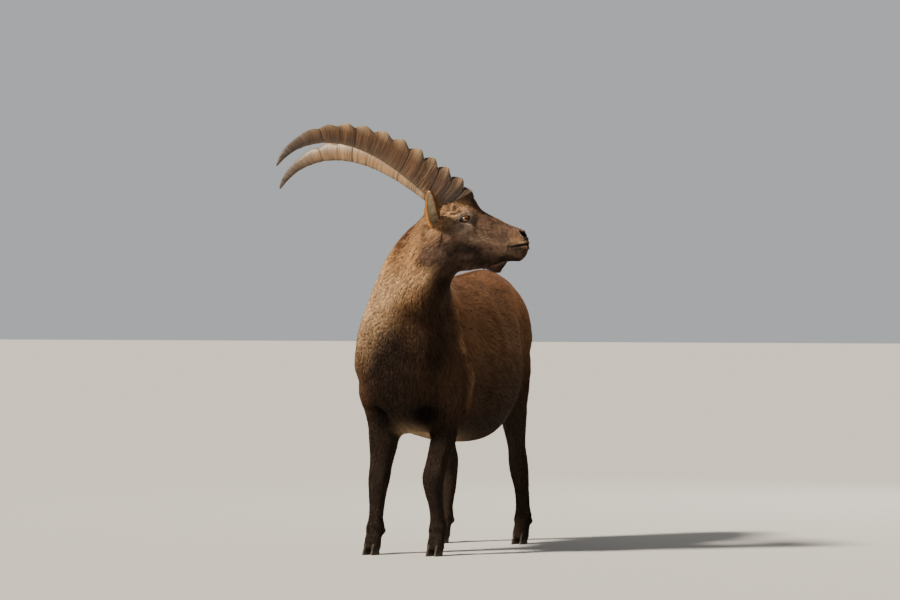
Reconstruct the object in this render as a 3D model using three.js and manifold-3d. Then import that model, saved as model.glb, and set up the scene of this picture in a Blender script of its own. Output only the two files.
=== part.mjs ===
// Life-size alpine ibex buck, standing, with its head turned to its left.
// Millimetres, +Z up. The body faces -Y, its left side is +X, and the hooves stand on Z = 0.
import * as THREE from "three";
import { LoftGeometry } from "three/addons/geometries/LoftGeometry.js";
import { mergeVertices } from "three/addons/utils/BufferGeometryUtils.js";
import Module from "manifold-3d";

// Clearance between touching pieces.
const GAP = 0.3;
// Merging distance for the shared vertices of a geometry.
const WELD = 1e-3;
// Edge of the boxes that stand for half of space when a solid is trimmed.
const HALF_SPACE = 3000;

// Directions of the pose. The head looks TURN degrees to the left of the body's forward axis.
const TURN = 113;
const HEAD_PITCH = -12;
const HEAD_ROLL = 6.5;
// Midpoint between the eyes.
const EYES_MIDDLE = new THREE.Vector3(222, -372, 1100);

// Driving sizes of the horns, measured along the middle line.
const HORN_LENGTH = 706;
const HORN_BASE_DEPTH = 106;
const HORN_BASE_WIDTH = 64;

// Driving sizes of the small parts.
const EYE_RADIUS = 15.7;
const EYE_HALF_SPACING = 51;
const EYE_LEVEL = -5;
const LID_THICKNESS = 2.6;
const EAR_LENGTH = 138;
const CLAW_LENGTH = 68;
const CLAW_WIDTH = 23;
const TOE_SPACING = 26;

const wasm = await Module();
wasm.setup();

const X = new THREE.Vector3(1, 0, 0);
const Z = new THREE.Vector3(0, 0, 1);
const radians = THREE.MathUtils.degToRad;
const vector = (x, y, z) => new THREE.Vector3(x, y, z);

// Solids from geometries, and back

function solid(geometry) {
  const bare = geometry.index ? geometry.toNonIndexed() : geometry.clone();
  for (const name of Object.keys(bare.attributes)) {
    if (name !== "position") bare.deleteAttribute(name);
  }
  const merged = mergeVertices(bare, WELD);
  const mesh = new wasm.Mesh({
    numProp: 3,
    vertProperties: merged.attributes.position.array,
    triVerts: new Uint32Array(merged.index.array),
  });
  return new wasm.Manifold(mesh);
}

function geometryOf(made) {
  const mesh = made.getMesh();
  const position = new Float32Array(mesh.numVert * 3);
  for (let i = 0; i < mesh.numVert; i++) {
    position.set(mesh.vertProperties.subarray(i * mesh.numProp, i * mesh.numProp + 3), i * 3);
  }
  const geometry = new THREE.BufferGeometry();
  geometry.setAttribute("position", new THREE.BufferAttribute(position, 3));
  geometry.setIndex(new THREE.BufferAttribute(mesh.triVerts, 1));
  geometry.computeVertexNormals();
  return geometry;
}

const middleOf = (ring) => joinedPoints(ring).divideScalar(ring.length);
const joinedPoints = (points) => points.reduce((sum, point) => sum.add(point), vector(0, 0, 0));

// Whether a ring runs anticlockwise when seen against a direction.
function windsAround(ring, direction) {
  const middle = middleOf(ring);
  const normal = vector(0, 0, 0);
  ring.forEach((point, i) => {
    const next = ring[(i + 1) % ring.length].clone().sub(middle);
    normal.add(point.clone().sub(middle).cross(next));
  });
  return normal.dot(direction) > 0;
}

// A closed solid skinned over rings of points, whichever way the rings wind.
function skinned(rings) {
  const direction = middleOf(rings[1]).sub(middleOf(rings[0]));
  const wound = windsAround(rings[0], direction) ? rings : rings.map((ring) => [...ring].reverse());
  return solid(new LoftGeometry(wound, { capStart: true, capEnd: true }));
}

// The half of space on the side of a plane that its normal points to.
function halfSpace(point, normal) {
  const box = new THREE.BoxGeometry(HALF_SPACE, HALF_SPACE, HALF_SPACE);
  box.translate(0, 0, HALF_SPACE / 2);
  box.applyQuaternion(new THREE.Quaternion().setFromUnitVectors(Z, normal.clone().normalize()));
  box.translate(point.x, point.y, point.z);
  return solid(box);
}

// The two sides of a plane, as [the side its normal points to, the other], a clearance apart.
function parted(body, point, normal) {
  const unit = normal.clone().normalize();
  const back = point.clone().addScaledVector(unit, -GAP);
  return [
    largest(body.intersect(halfSpace(point, unit))),
    largest(body.subtract(halfSpace(back, unit))),
  ];
}

function largest(body) {
  return body.decompose().sort((a, b) => b.volume() - a.volume())[0];
}

// A box given by its corners, in the frame that a matrix sets.
function region(from, to, grow = 0, frame = new THREE.Matrix4()) {
  const size = to.clone().sub(from).addScalar(2 * grow);
  const box = new THREE.BoxGeometry(...size.toArray());
  const middle = from.clone().add(to).multiplyScalar(0.5);
  box.translate(middle.x, middle.y, middle.z);
  box.applyMatrix4(frame);
  return solid(box);
}

// What lies inside a box and what is left outside it, a clearance apart.
function carved(body, from, to, frame) {
  return [
    largest(body.intersect(region(from, to, 0, frame))),
    largest(body.subtract(region(from, to, GAP, frame))),
  ];
}

const joined = (solids) => solids.reduce((all, one) => all.add(one));

// Curves through rows of named sizes

function through(rows, count) {
  const names = Object.keys(rows[0]);
  const last = rows.length - 1;
  const row = (k, name) => {
    if (k < 0) return 2 * rows[0][name] - rows[1][name];
    if (k > last) return 2 * rows[last][name] - rows[last - 1][name];
    return rows[k][name];
  };
  const made = [];
  for (let i = 0; i < count; i++) {
    const t = (i / (count - 1)) * last;
    const k = Math.min(Math.floor(t), last - 1);
    const f = t - k;
    const one = {};
    for (const name of names) {
      const [a, b, c, d] = [k - 1, k, k + 1, k + 2].map((j) => row(j, name));
      const bend = 2 * a - 5 * b + 4 * c - d + f * (3 * (b - c) + d - a);
      one[name] = b + 0.5 * f * (c - a + f * bend);
    }
    made.push(one);
  }
  return made;
}

const power = (value, exponent) => Math.sign(value) * Math.abs(value) ** exponent;

// An oval ring. rise and drop are its reach up and down, crest and keel how square each half is.
function oval(centre, side, up, sizes, count) {
  const ring = [];
  for (let i = 0; i < count; i++) {
    const angle = (i / count) * 2 * Math.PI;
    const upper = Math.sin(angle) >= 0;
    const exponent = 2 / ((upper ? sizes.crest : sizes.keel) ?? 2);
    const across = sizes.half * power(Math.cos(angle), exponent);
    const along = (upper ? sizes.rise : sizes.drop) * power(Math.sin(angle), exponent);
    ring.push(centre.clone().addScaledVector(side, across).addScaledVector(up, along));
  }
  return ring;
}

// Muscles and hollows: each mark pushes the surface near it, alike on both sides of X = 0.
function sculpt(point, marks) {
  const side = Math.sign(point.x) || 1;
  const moved = point.clone();
  for (const { at, size, push } of marks) {
    const away = [Math.abs(point.x) - at[0], point.y - at[1], point.z - at[2]];
    const far = Math.hypot(...away.map((d, i) => d / size[i]));
    const weight = Math.exp(-far * far);
    moved.add(vector(side * push[0] * weight, push[1] * weight, push[2] * weight));
  }
  return moved;
}

// Torso

const TORSO_RINGS = 25;
const TORSO_SIDES = 28;
// Sections from breast to buttock: top and bottom height, height of the widest place, half width.
const TORSO = [
  { y: -492, top: 760, bottom: 640, wide: 700, half: 42, crest: 2, keel: 2 },
  { y: -478, top: 800, bottom: 566, wide: 690, half: 88, crest: 2.2, keel: 2 },
  { y: -442, top: 838, bottom: 494, wide: 668, half: 130, crest: 2.5, keel: 2.1 },
  { y: -380, top: 872, bottom: 438, wide: 648, half: 156, crest: 2.7, keel: 2.2 },
  { y: -290, top: 905, bottom: 408, wide: 625, half: 176, crest: 2.3, keel: 2.4 },
  { y: -180, top: 930, bottom: 392, wide: 620, half: 188, crest: 1.9, keel: 2.6 },
  { y: -60, top: 920, bottom: 374, wide: 618, half: 198, crest: 2, keel: 2.7 },
  { y: 60, top: 917, bottom: 360, wide: 620, half: 204, crest: 2.1, keel: 2.6 },
  { y: 170, top: 930, bottom: 368, wide: 630, half: 200, crest: 2.1, keel: 2.3 },
  { y: 270, top: 942, bottom: 420, wide: 664, half: 174, crest: 2, keel: 2 },
  { y: 350, top: 942, bottom: 494, wide: 700, half: 156, crest: 1.85, keel: 2 },
  { y: 430, top: 918, bottom: 570, wide: 722, half: 133, crest: 1.85, keel: 2 },
  { y: 490, top: 880, bottom: 645, wide: 745, half: 97, crest: 1.9, keel: 2 },
  { y: 522, top: 830, bottom: 710, wide: 765, half: 50, crest: 2, keel: 2 },
];
const TORSO_MARKS = [
  { at: [118, -205, 820], size: [70, 70, 110], push: [12, 0, 0] },
  { at: [156, -385, 640], size: [70, 60, 80], push: [10, -6, 0] },
  { at: [188, -235, 590], size: [70, 70, 90], push: [12, 0, 0] },
  { at: [195, -105, 640], size: [60, 45, 130], push: [-9, 0, 0] },
  { at: [180, 262, 700], size: [60, 60, 80], push: [-16, 0, 0] },
  { at: [120, 262, 885], size: [50, 55, 40], push: [11, 0, 7] },
  { at: [140, 385, 690], size: [70, 80, 110], push: [5, 0, 0] },
  { at: [60, 500, 800], size: [50, 50, 70], push: [4, 14, 0] },
  { at: [0, 480, 905], size: [26, 60, 40], push: [0, 0, 10] },
];

function torso() {
  const rings = through(TORSO, TORSO_RINGS).map((row) => {
    const sizes = { ...row, rise: row.top - row.wide, drop: row.wide - row.bottom };
    return oval(vector(0, row.y, row.wide), X, Z, sizes, TORSO_SIDES);
  });
  return skinned(rings.map((ring) => ring.map((point) => sculpt(point, TORSO_MARKS))));
}

// Neck

const NECK_RINGS = 12;
const NECK_SIDES = 24;
// Sections from the shoulders to the skull. nape is the compass angle that the nape faces: 90 is
// backwards and 180 is to the right, so the neck twists as it carries the head round.
const NECK = [
  { x: 0, y: -150, z: 720, half: 96, rise: 128, drop: 150, nape: 90 },
  { x: 2, y: -235, z: 748, half: 124, rise: 146, drop: 160, nape: 91 },
  { x: 8, y: -312, z: 805, half: 150, rise: 168, drop: 168, nape: 96 },
  { x: 38, y: -374, z: 872, half: 128, rise: 146, drop: 152, nape: 112 },
  { x: 73, y: -408, z: 944, half: 110, rise: 112, drop: 140, nape: 142 },
  { x: 115, y: -418, z: 1012, half: 95, rise: 93, drop: 118, nape: 172 },
  { x: 150, y: -408, z: 1058, half: 74, rise: 80, drop: 92, nape: 196 },
];

function neck() {
  const rows = through(NECK, NECK_RINGS);
  const rings = rows.map((row, i) => {
    const before = rows[Math.max(i - 1, 0)];
    const after = rows[Math.min(i + 1, rows.length - 1)];
    const tangent = vector(after.x - before.x, after.y - before.y, after.z - before.z).normalize();
    const facing = vector(Math.cos(radians(row.nape)), Math.sin(radians(row.nape)), 0);
    const up = facing.addScaledVector(tangent, -facing.dot(tangent)).normalize();
    const side = vector(0, 0, 0).crossVectors(up, tangent);
    return oval(vector(row.x, row.y, row.z), side, up, row, NECK_SIDES);
  });
  return skinned(rings);
}

// Head. Its own frame is x to the left, y back and z up, with the origin midway between the eyes,
// so the muzzle points to -y as the body does.

const HEAD_RINGS = 27;
const HEAD_SIDES = 28;
// Sections from nape to nose: top and bottom height, and half widths going down the face.
const HEAD = [
  { y: 148, top: -22, bottom: -112, crown: 30, brow: 50, cheek: 52, jaw: 34 },
  { y: 112, top: 18, bottom: -150, crown: 44, brow: 72, cheek: 74, jaw: 46 },
  { y: 72, top: 42, bottom: -172, crown: 46, brow: 70, cheek: 73, jaw: 46 },
  { y: 32, top: 70, bottom: -177, crown: 44, brow: 65, cheek: 68, jaw: 42 },
  { y: 8, top: 88, bottom: -176, crown: 38, brow: 63, cheek: 64, jaw: 39 },
  { y: -16, top: 76, bottom: -171, crown: 41, brow: 60, cheek: 60, jaw: 36 },
  { y: -42, top: 49, bottom: -162, crown: 36, brow: 51, cheek: 54, jaw: 33 },
  { y: -72, top: 37, bottom: -151, crown: 29, brow: 43, cheek: 47, jaw: 30 },
  { y: -104, top: 29, bottom: -139, crown: 25, brow: 37, cheek: 41, jaw: 27 },
  { y: -134, top: 20, bottom: -122, crown: 22, brow: 33, cheek: 36, jaw: 24 },
  { y: -160, top: 15, bottom: -107, crown: 20, brow: 31, cheek: 34, jaw: 22 },
  { y: -182, top: 12, bottom: -98, crown: 19, brow: 30, cheek: 33, jaw: 21 },
  { y: -200, top: 3, bottom: -92, crown: 17, brow: 28, cheek: 31, jaw: 19 },
  { y: -213, top: -13, bottom: -80, crown: 13, brow: 22, cheek: 25, jaw: 15 },
  { y: -221, top: -30, bottom: -64, crown: 6, brow: 11, cheek: 12, jaw: 7 },
];
const HEAD_MARKS = [
  { at: [62, 4, 26], size: [30, 26, 13], push: [6, 0, 1] },
  { at: [62, -6, -30], size: [30, 34, 14], push: [5, 0, 0] },
  { at: [50, -40, -6], size: [26, 22, 16], push: [-5, 0, 0] },
  { at: [70, 45, -85], size: [30, 42, 50], push: [6, 0, 0] },
  { at: [40, -112, -50], size: [24, 34, 26], push: [-4, 0, 0] },
  { at: [30, -190, -30], size: [20, 24, 14], push: [4, 0, 0] },
  { at: [24, -198, -6], size: [16, 14, 9], push: [3, 0, 0] },
  { at: [0, -196, -90], size: [26, 22, 16], push: [0, -2, -3] },
  { at: [32, -150, -58], size: [20, 16, 10], push: [-2, 0, 0] },
];
// Depths down the face, as shares of a section's height, where the half widths are given.
const CROWN_AT = 0.1;
const BROW_AT = 0.36;
const CHEEK_AT = 0.62;
const JAW_AT = 0.9;

function headRing(row) {
  const height = row.top - row.bottom;
  const level = (share) => row.top - share * height;
  const controls = [
    vector(0, row.y, row.top),
    vector(row.crown, row.y, level(CROWN_AT)),
    vector(row.brow, row.y, level(BROW_AT)),
    vector(row.cheek, row.y, level(CHEEK_AT)),
    vector(row.jaw, row.y, level(JAW_AT)),
    vector(0, row.y, row.bottom),
  ];
  const mirror = (point) => vector(-point.x, point.y, point.z);
  const ends = [mirror(controls[1]), mirror(controls[4])];
  const curve = new THREE.CatmullRomCurve3([ends[0], ...controls, ends[1]]);
  // The curve's first and last stretches only steer its ends, and the ring is taken between them.
  const left = [];
  const half = HEAD_SIDES / 2;
  for (let i = 0; i <= half; i++) {
    const share = (1 + (i / half) * (controls.length - 1)) / (controls.length + 1);
    const point = curve.getPoint(share);
    if (i === 0 || i === half) point.x = 0;
    left.push(point);
  }
  const right = left.slice(1, -1).reverse().map(mirror);
  return [...left, ...right].map((point) => sculpt(point, HEAD_MARKS));
}

function headPlacement() {
  const roll = new THREE.Matrix4().makeRotationY(radians(HEAD_ROLL));
  const pitch = new THREE.Matrix4().makeRotationX(radians(-HEAD_PITCH));
  const turn = new THREE.Matrix4().makeRotationZ(radians(TURN));
  const place = new THREE.Matrix4().makeTranslation(EYES_MIDDLE);
  return place.multiply(turn).multiply(pitch).multiply(roll);
}

// A ball squashed to three radii, tilted about the sideways axis.
function ball(centre, radii, tilt = 0, sides = 14) {
  const sphere = new THREE.SphereGeometry(1, sides, Math.round(sides * 0.7));
  sphere.scale(...radii);
  sphere.rotateX(radians(tilt));
  sphere.translate(centre.x, centre.y, centre.z);
  return solid(sphere);
}

// The mouth line, a thin slot that runs round the muzzle from corner to corner.
const MOUTH = [
  { x: 37, y: -158, z: -59, out: 0.95 },
  { x: 36, y: -178, z: -53, out: 0.95 },
  { x: 32, y: -198, z: -47, out: 0.85 },
  { x: 22, y: -215, z: -42, out: 0.55 },
  { x: 0, y: -222, z: -40, out: 0 },
];
const MOUTH_REACH = 7;
const MOUTH_HALF_HEIGHT = 1.3;

function mouthSlot() {
  const half = through(MOUTH, 9);
  const other = half.slice(0, -1).reverse().map((row) => ({ ...row, x: -row.x, out: -row.out }));
  const rings = [...half, ...other].map((row) => {
    const ahead = -Math.sqrt(Math.max(0, 1 - row.out * row.out));
    const outward = vector(row.out, ahead, 0).multiplyScalar(MOUTH_REACH);
    const middle = vector(row.x, row.y, row.z);
    const lift = vector(0, 0, MOUTH_HALF_HEIGHT);
    return [
      middle.clone().add(outward).add(lift),
      middle.clone().sub(outward).addScaledVector(lift, 0.3),
      middle.clone().sub(outward).addScaledVector(lift, -0.3),
      middle.clone().add(outward).sub(lift),
    ];
  });
  return skinned(rings);
}

const NOSTRIL = vector(29, -196, -9);
const NOSTRIL_RADII = [11, 15, 8];
const NOSTRIL_TILT = 20;

// Eye opening: the almond between the lids, long axis tilted up towards the muzzle.
const LID_OPENING_LENGTH = 15;
const LID_OPENING_HEIGHT = 9.5;
const LID_TILT = -36;

const eyeCentre = (side) => vector(side * EYE_HALF_SPACING, 1, EYE_LEVEL);

function eyelids(side) {
  const radius = EYE_RADIUS + LID_THICKNESS;
  return ball(eyeCentre(side), [radius, radius, radius], 0, 14);
}

function eyeOpening(side) {
  const deep = 2 * EYE_RADIUS;
  const centre = eyeCentre(side).add(vector(side * deep, 0, 0));
  const radii = [deep, LID_OPENING_LENGTH, LID_OPENING_HEIGHT];
  return ball(centre, radii, LID_TILT, 16);
}

function eyeball(side, grow) {
  const radius = EYE_RADIUS + grow;
  return ball(eyeCentre(side), [radius, radius, radius], 0, 14);
}

// Horns, in the head's frame

// The middle line rises from the skull and turns down ever faster towards the tip.
const HORN_RISE = 25.2;
const HORN_BEND = 104.2;
const HORN_BEND_GROWTH = 2.35;
const HORN_BASE = vector(36.5, 48.5, 56);
// The base is cut askew, as the skin line runs along the skull.
const HORN_BASE_SKEW = 26.5;
const HORN_SKEW_FADE = 0.1;
const HORN_SPREAD = 228;
const HORN_TIP_RINGS = 6;
const HORN_SIDES = 12;
// Where the knobs of the front face stand, as shares of the length from base to tip.
const KNOBS = [0.006, 0.052, 0.116, 0.192, 0.267, 0.352, 0.439, 0.531, 0.607, 0.69, 0.772];
const KNOBS_END = 0.85;
const KNOB_HEIGHT = 15;
const SIDE_RIB_HEIGHT = 2.4;
// Rings over each knob, as shares of the way to the next one.
const KNOB_RINGS = [0, 0.15, 0.36, 0.64, 0.85];
const HORN_THINNING = 0.63;

const smoothstep = (t) => t * t * (3 - 2 * t);

function hornLine(side, steps) {
  const points = [];
  let y = HORN_BASE.y;
  let z = HORN_BASE.z;
  const upright = Math.sqrt(HORN_LENGTH ** 2 - HORN_SPREAD ** 2);
  for (let i = 0; i <= steps; i++) {
    const t = i / steps;
    const rise = radians(HORN_RISE - HORN_BEND * t ** HORN_BEND_GROWTH);
    points.push({ t, rise, at: vector(side * (HORN_BASE.x + HORN_SPREAD * t), y, z) });
    y += (upright / steps) * Math.cos(rise);
    z += (upright / steps) * Math.sin(rise);
  }
  return points;
}

// How far the front face stands out, from 0 between knobs to 1 on one.
function knob(t) {
  if (t >= KNOBS_END) return 0;
  const edges = [...KNOBS, KNOBS_END];
  const k = edges.findIndex((edge, i) => t < edges[i + 1]);
  const phase = (t - edges[k]) / (edges[k + 1] - edges[k]);
  const last = k === KNOBS.length - 1;
  const wave = 0.5 + 0.5 * Math.cos((last ? 1 : 2) * Math.PI * phase);
  return wave * Math.min(1, 2.4 * (1.02 - t) - 0.3);
}

function hornStations() {
  const edges = [...KNOBS, KNOBS_END];
  const stations = [0];
  KNOBS.forEach((at, k) => {
    for (const share of KNOB_RINGS) stations.push(at + share * (edges[k + 1] - at));
  });
  for (let i = 0; i <= HORN_TIP_RINGS; i++) {
    stations.push(KNOBS_END + (1 - KNOBS_END) * (i / HORN_TIP_RINGS));
  }
  return stations;
}

// A horn's outline: broad flat front face, rounded flanks and a narrower back.
function hornRing(at, ahead, across, t, side, grow) {
  const thin = (1 - t) ** HORN_THINNING;
  const depth = (HORN_BASE_DEPTH / 2) * thin + 1.5;
  const width = (HORN_BASE_WIDTH / 2) * (1 - t) ** 0.6 * (1 - 0.16 * t) + 1.5;
  const swell = t < KNOBS[0] ? 1 : knob(t);
  const ring = [];
  for (let i = 0; i < HORN_SIDES; i++) {
    const angle = (i / HORN_SIDES) * 2 * Math.PI;
    const front = Math.cos(angle);
    const lateral = Math.sin(angle);
    const squared = 2 / 2.7;
    const narrow = front < 0 ? 1 + 0.28 * front : 1;
    const rib = SIDE_RIB_HEIGHT * swell * thin * (1 - Math.abs(front));
    const bump = KNOB_HEIGHT * swell * thin ** 0.5 * smoothstep(Math.max(0, front));
    const forward = depth * power(front, squared) + bump + grow * front;
    const sideways = (width * narrow + rib + grow) * power(lateral, squared);
    ring.push(at.clone().addScaledVector(ahead, forward).addScaledVector(across, side * sideways));
  }
  return ring;
}

function horn(side, grow = 0) {
  const line = hornLine(side, 400);
  const lean = HORN_SPREAD / Math.sqrt(HORN_LENGTH ** 2 - HORN_SPREAD ** 2);
  const rings = hornStations().map((t, k) => {
    const { rise, at } = line[Math.round(t * 400)];
    const skew = radians(HORN_BASE_SKEW) * Math.max(0, 1 - t / HORN_SKEW_FADE);
    const along = vector(0, Math.cos(rise), Math.sin(rise));
    const ahead = vector(0, -Math.sin(rise + skew), Math.cos(rise + skew));
    const across = X.clone().addScaledVector(along, -side * lean).normalize();
    const start = k === 0 ? at.clone().addScaledVector(along, -grow) : at;
    return hornRing(start, ahead, across, t, side, grow);
  });
  return skinned(rings);
}

// The rise of the skull under each horn, square to the horn's slanting base.
const SEAT = [
  { down: 42, grow: -14 },
  { down: 16, grow: -2 },
  { down: GAP, grow: 0.5 },
];

function hornSeat(side) {
  const { at, rise } = hornLine(side, 1)[0];
  const slant = rise + radians(HORN_BASE_SKEW);
  const ahead = vector(0, -Math.sin(slant), Math.cos(slant));
  const square = vector(0, Math.cos(slant), Math.sin(slant));
  const rings = SEAT.map(({ down, grow }) => {
    const middle = at.clone().addScaledVector(square, -down);
    return hornRing(middle, ahead, X, 0, side, grow);
  });
  return skinned(rings);
}

// Ears, in the head's frame: a cup open to the side and front

const EAR_ROOT = vector(64, 86, -48);
const EAR_AXIS = [0.62, 0.32, 0.66];
const EAR_FACING = [0.6, -0.74, -0.2];
const EAR_RINGS = 11;
const EAR_ARC = 7;
// half is the half width, shell the depth of the back, and cup the depth of the hollow.
const EAR = [
  { along: -0.16, half: 15, shell: 18, cup: 2 },
  { along: 0, half: 19, shell: 22, cup: 2.5 },
  { along: 0.14, half: 23, shell: 24, cup: 10 },
  { along: 0.34, half: 27, shell: 25, cup: 18 },
  { along: 0.58, half: 25, shell: 22, cup: 16 },
  { along: 0.8, half: 18, shell: 15, cup: 10.5 },
  { along: 0.94, half: 9.5, shell: 8.5, cup: 5 },
  { along: 1, half: 2.8, shell: 3.6, cup: 1.4 },
];

// The frame of an ear, mirrored for the right one: x across it, y out of its cup and z to its tip.
function earFrame(side) {
  const axis = vector(...EAR_AXIS).normalize();
  const facing = vector(...EAR_FACING);
  facing.addScaledVector(axis, -facing.dot(axis)).normalize();
  const across = vector(0, 0, 0).crossVectors(facing, axis);
  const mirror = new THREE.Matrix4().makeScale(side, 1, 1);
  const frame = new THREE.Matrix4().makeBasis(across, facing, axis).setPosition(EAR_ROOT);
  return mirror.multiply(frame).multiply(new THREE.Matrix4().makeScale(side, 1, 1));
}

function ear(side) {
  const frame = earFrame(side);
  const rings = through(EAR, EAR_RINGS).map((row) => {
    const ring = [];
    for (let j = 0; j < EAR_ARC; j++) {
      const angle = (j / (EAR_ARC - 1) - 0.5) * Math.PI;
      ring.push(vector(row.half * Math.sin(angle), -row.shell * Math.cos(angle), 0));
    }
    for (let j = EAR_ARC - 1; j >= 0; j--) {
      const angle = (j / (EAR_ARC - 1) - 0.5) * Math.PI;
      const inset = row.half * 0.8;
      ring.push(vector(inset * Math.sin(angle), 1.2 - 0.94 * row.cup * Math.cos(angle), 0));
    }
    const along = row.along * EAR_LENGTH;
    return ring.map((point) => point.setZ(along).applyMatrix4(frame));
  });
  return skinned(rings);
}

// Legs. Each is a tube through sections from inside the trunk to the coronet. half is the
// sideways half width, fore and aft the reach to the front and back.

const LEG_RINGS = 23;
const LEG_SIDES = 12;
const FORE_LEFT = [
  { x: 104, y: -290, z: 668, half: 50, fore: 62, aft: 62 },
  { x: 116, y: -298, z: 610, half: 60, fore: 74, aft: 80 },
  { x: 122, y: -294, z: 545, half: 60, fore: 74, aft: 84 },
  { x: 118, y: -282, z: 490, half: 53, fore: 60, aft: 68 },
  { x: 114, y: -278, z: 440, half: 45, fore: 50, aft: 52 },
  { x: 107, y: -290, z: 375, half: 42, fore: 44, aft: 42 },
  { x: 96, y: -308, z: 312, half: 36, fore: 36, aft: 35 },
  { x: 89, y: -324, z: 258, half: 37, fore: 37, aft: 34 },
  { x: 89, y: -322, z: 218, half: 32, fore: 30, aft: 31 },
  { x: 93, y: -312, z: 165, half: 25, fore: 23, aft: 25 },
  { x: 95, y: -304, z: 122, half: 25, fore: 23, aft: 26 },
  { x: 96, y: -302, z: 90, half: 31, fore: 27, aft: 31 },
  { x: 96, y: -312, z: 62, half: 28, fore: 24, aft: 25 },
  { x: 97, y: -324, z: 34, half: 29, fore: 27, aft: 26 },
  { x: 97, y: -330, z: 12, half: 29, fore: 28, aft: 26 },
];
const FORE_RIGHT = [
  { x: -104, y: -290, z: 668, half: 50, fore: 62, aft: 62 },
  { x: -116, y: -298, z: 610, half: 60, fore: 74, aft: 80 },
  { x: -122, y: -294, z: 545, half: 60, fore: 74, aft: 84 },
  { x: -116, y: -284, z: 490, half: 56, fore: 62, aft: 70 },
  { x: -109, y: -280, z: 440, half: 55, fore: 56, aft: 57 },
  { x: -106, y: -288, z: 375, half: 50, fore: 48, aft: 46 },
  { x: -109, y: -300, z: 305, half: 39, fore: 37, aft: 35 },
  { x: -113, y: -310, z: 248, half: 36, fore: 36, aft: 34 },
  { x: -116, y: -313, z: 208, half: 31, fore: 29, aft: 31 },
  { x: -119, y: -314, z: 160, half: 26, fore: 24, aft: 26 },
  { x: -121, y: -316, z: 120, half: 25, fore: 23, aft: 26 },
  { x: -122, y: -318, z: 90, half: 31, fore: 27, aft: 31 },
  { x: -123, y: -329, z: 62, half: 28, fore: 24, aft: 25 },
  { x: -123, y: -341, z: 34, half: 29, fore: 27, aft: 26 },
  { x: -123, y: -347, z: 12, half: 29, fore: 28, aft: 26 },
];
const HIND_LEFT = [
  { x: 80, y: 352, z: 780, half: 44, fore: 72, aft: 82 },
  { x: 90, y: 350, z: 710, half: 52, fore: 96, aft: 104 },
  { x: 98, y: 336, z: 630, half: 56, fore: 110, aft: 116 },
  { x: 104, y: 322, z: 556, half: 54, fore: 94, aft: 100 },
  { x: 106, y: 326, z: 490, half: 48, fore: 74, aft: 70 },
  { x: 103, y: 350, z: 415, half: 41, fore: 52, aft: 48 },
  { x: 97, y: 384, z: 342, half: 31, fore: 33, aft: 36 },
  { x: 96, y: 402, z: 290, half: 32, fore: 33, aft: 44 },
  { x: 99, y: 406, z: 246, half: 32, fore: 32, aft: 36 },
  { x: 109, y: 402, z: 188, half: 26, fore: 25, aft: 26 },
  { x: 116, y: 395, z: 128, half: 25, fore: 24, aft: 26 },
  { x: 118, y: 392, z: 92, half: 31, fore: 27, aft: 31 },
  { x: 119, y: 380, z: 63, half: 28, fore: 24, aft: 25 },
  { x: 119, y: 368, z: 34, half: 29, fore: 27, aft: 26 },
  { x: 119, y: 362, z: 12, half: 29, fore: 28, aft: 26 },
];
// The right hind leg stands forward of the left and wider out.
const HIND_RIGHT_ADVANCE = 52;
const HIND_RIGHT_SPREAD = 46;
const HIND_RIGHT = HIND_LEFT.map((row) => {
  const lower = THREE.MathUtils.clamp((710 - row.z) / 340, 0, 1);
  const spread = HIND_RIGHT_SPREAD * lower * (row.z < 200 ? 0.75 : 1);
  return { ...row, x: -row.x - spread, y: row.y - HIND_RIGHT_ADVANCE * lower };
});

function leg(rows, grow = 0) {
  const line = through(rows, LEG_RINGS);
  const rings = line.map((row, i) => {
    const before = line[Math.max(i - 1, 0)];
    const after = line[Math.min(i + 1, line.length - 1)];
    const tangent = vector(after.x - before.x, after.y - before.y, after.z - before.z).normalize();
    const side = X.clone().addScaledVector(tangent, -X.dot(tangent)).normalize();
    const ahead = vector(0, 0, 0).crossVectors(side, tangent);
    const reach = i === 0 ? -grow : 0;
    const at = vector(row.x, row.y, row.z).addScaledVector(tangent, reach);
    const sizes = { half: row.half + grow, rise: row.fore + grow, drop: row.aft + grow };
    return oval(at, side, ahead, { ...sizes, crest: 2.1, keel: 2.1 }, LEG_SIDES);
  });
  return skinned(rings);
}

// Hooves: two claws and two dewclaws to a foot

const CORONET_FRONT = 38;
const CORONET_SLOPE = 20;
const CLAW_SIDES = 14;
const CLAW_SPLAY = 5;
// How far a claw's wall has moved back and drawn in at each height.
const CLAW = [
  { z: 0, back: 0, length: 0.96, width: 0.94 },
  { z: 3, back: 1, length: 1, width: 1 },
  { z: 18, back: 7, length: 0.9, width: 0.99 },
  { z: 38, back: 15, length: 0.78, width: 0.95 },
  { z: 60, back: 22, length: 0.7, width: 0.9 },
];

function claw(foot, toe) {
  const rings = CLAW.map((row) => {
    const ring = [];
    for (let i = 0; i < CLAW_SIDES; i++) {
      const angle = (i / CLAW_SIDES) * 2 * Math.PI;
      const ahead = Math.cos(angle);
      const length = (CLAW_LENGTH / 2) * row.length;
      const taper = 1 - 0.34 * Math.max(0, ahead);
      const x = (CLAW_WIDTH / 2) * row.width * taper * power(Math.sin(angle), 0.85);
      const y = -length * power(ahead, 0.95) + row.back;
      ring.push(vector(x, y, row.z).applyAxisAngle(Z, radians(toe * CLAW_SPLAY)));
    }
    return ring.map((point) => point.add(vector(foot.x + (toe * TOE_SPACING) / 2, foot.y, 0)));
  });
  return skinned(rings);
}

const DEWCLAW_RADII = [9, 9, 13];

// The coronet's plane on a foot, and its normal up the leg.
function coronet(foot) {
  const slope = radians(CORONET_SLOPE);
  const point = vector(foot.x, foot.y - CLAW_LENGTH / 2, CORONET_FRONT);
  return [point, vector(0, Math.sin(slope), Math.cos(slope))];
}

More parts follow.
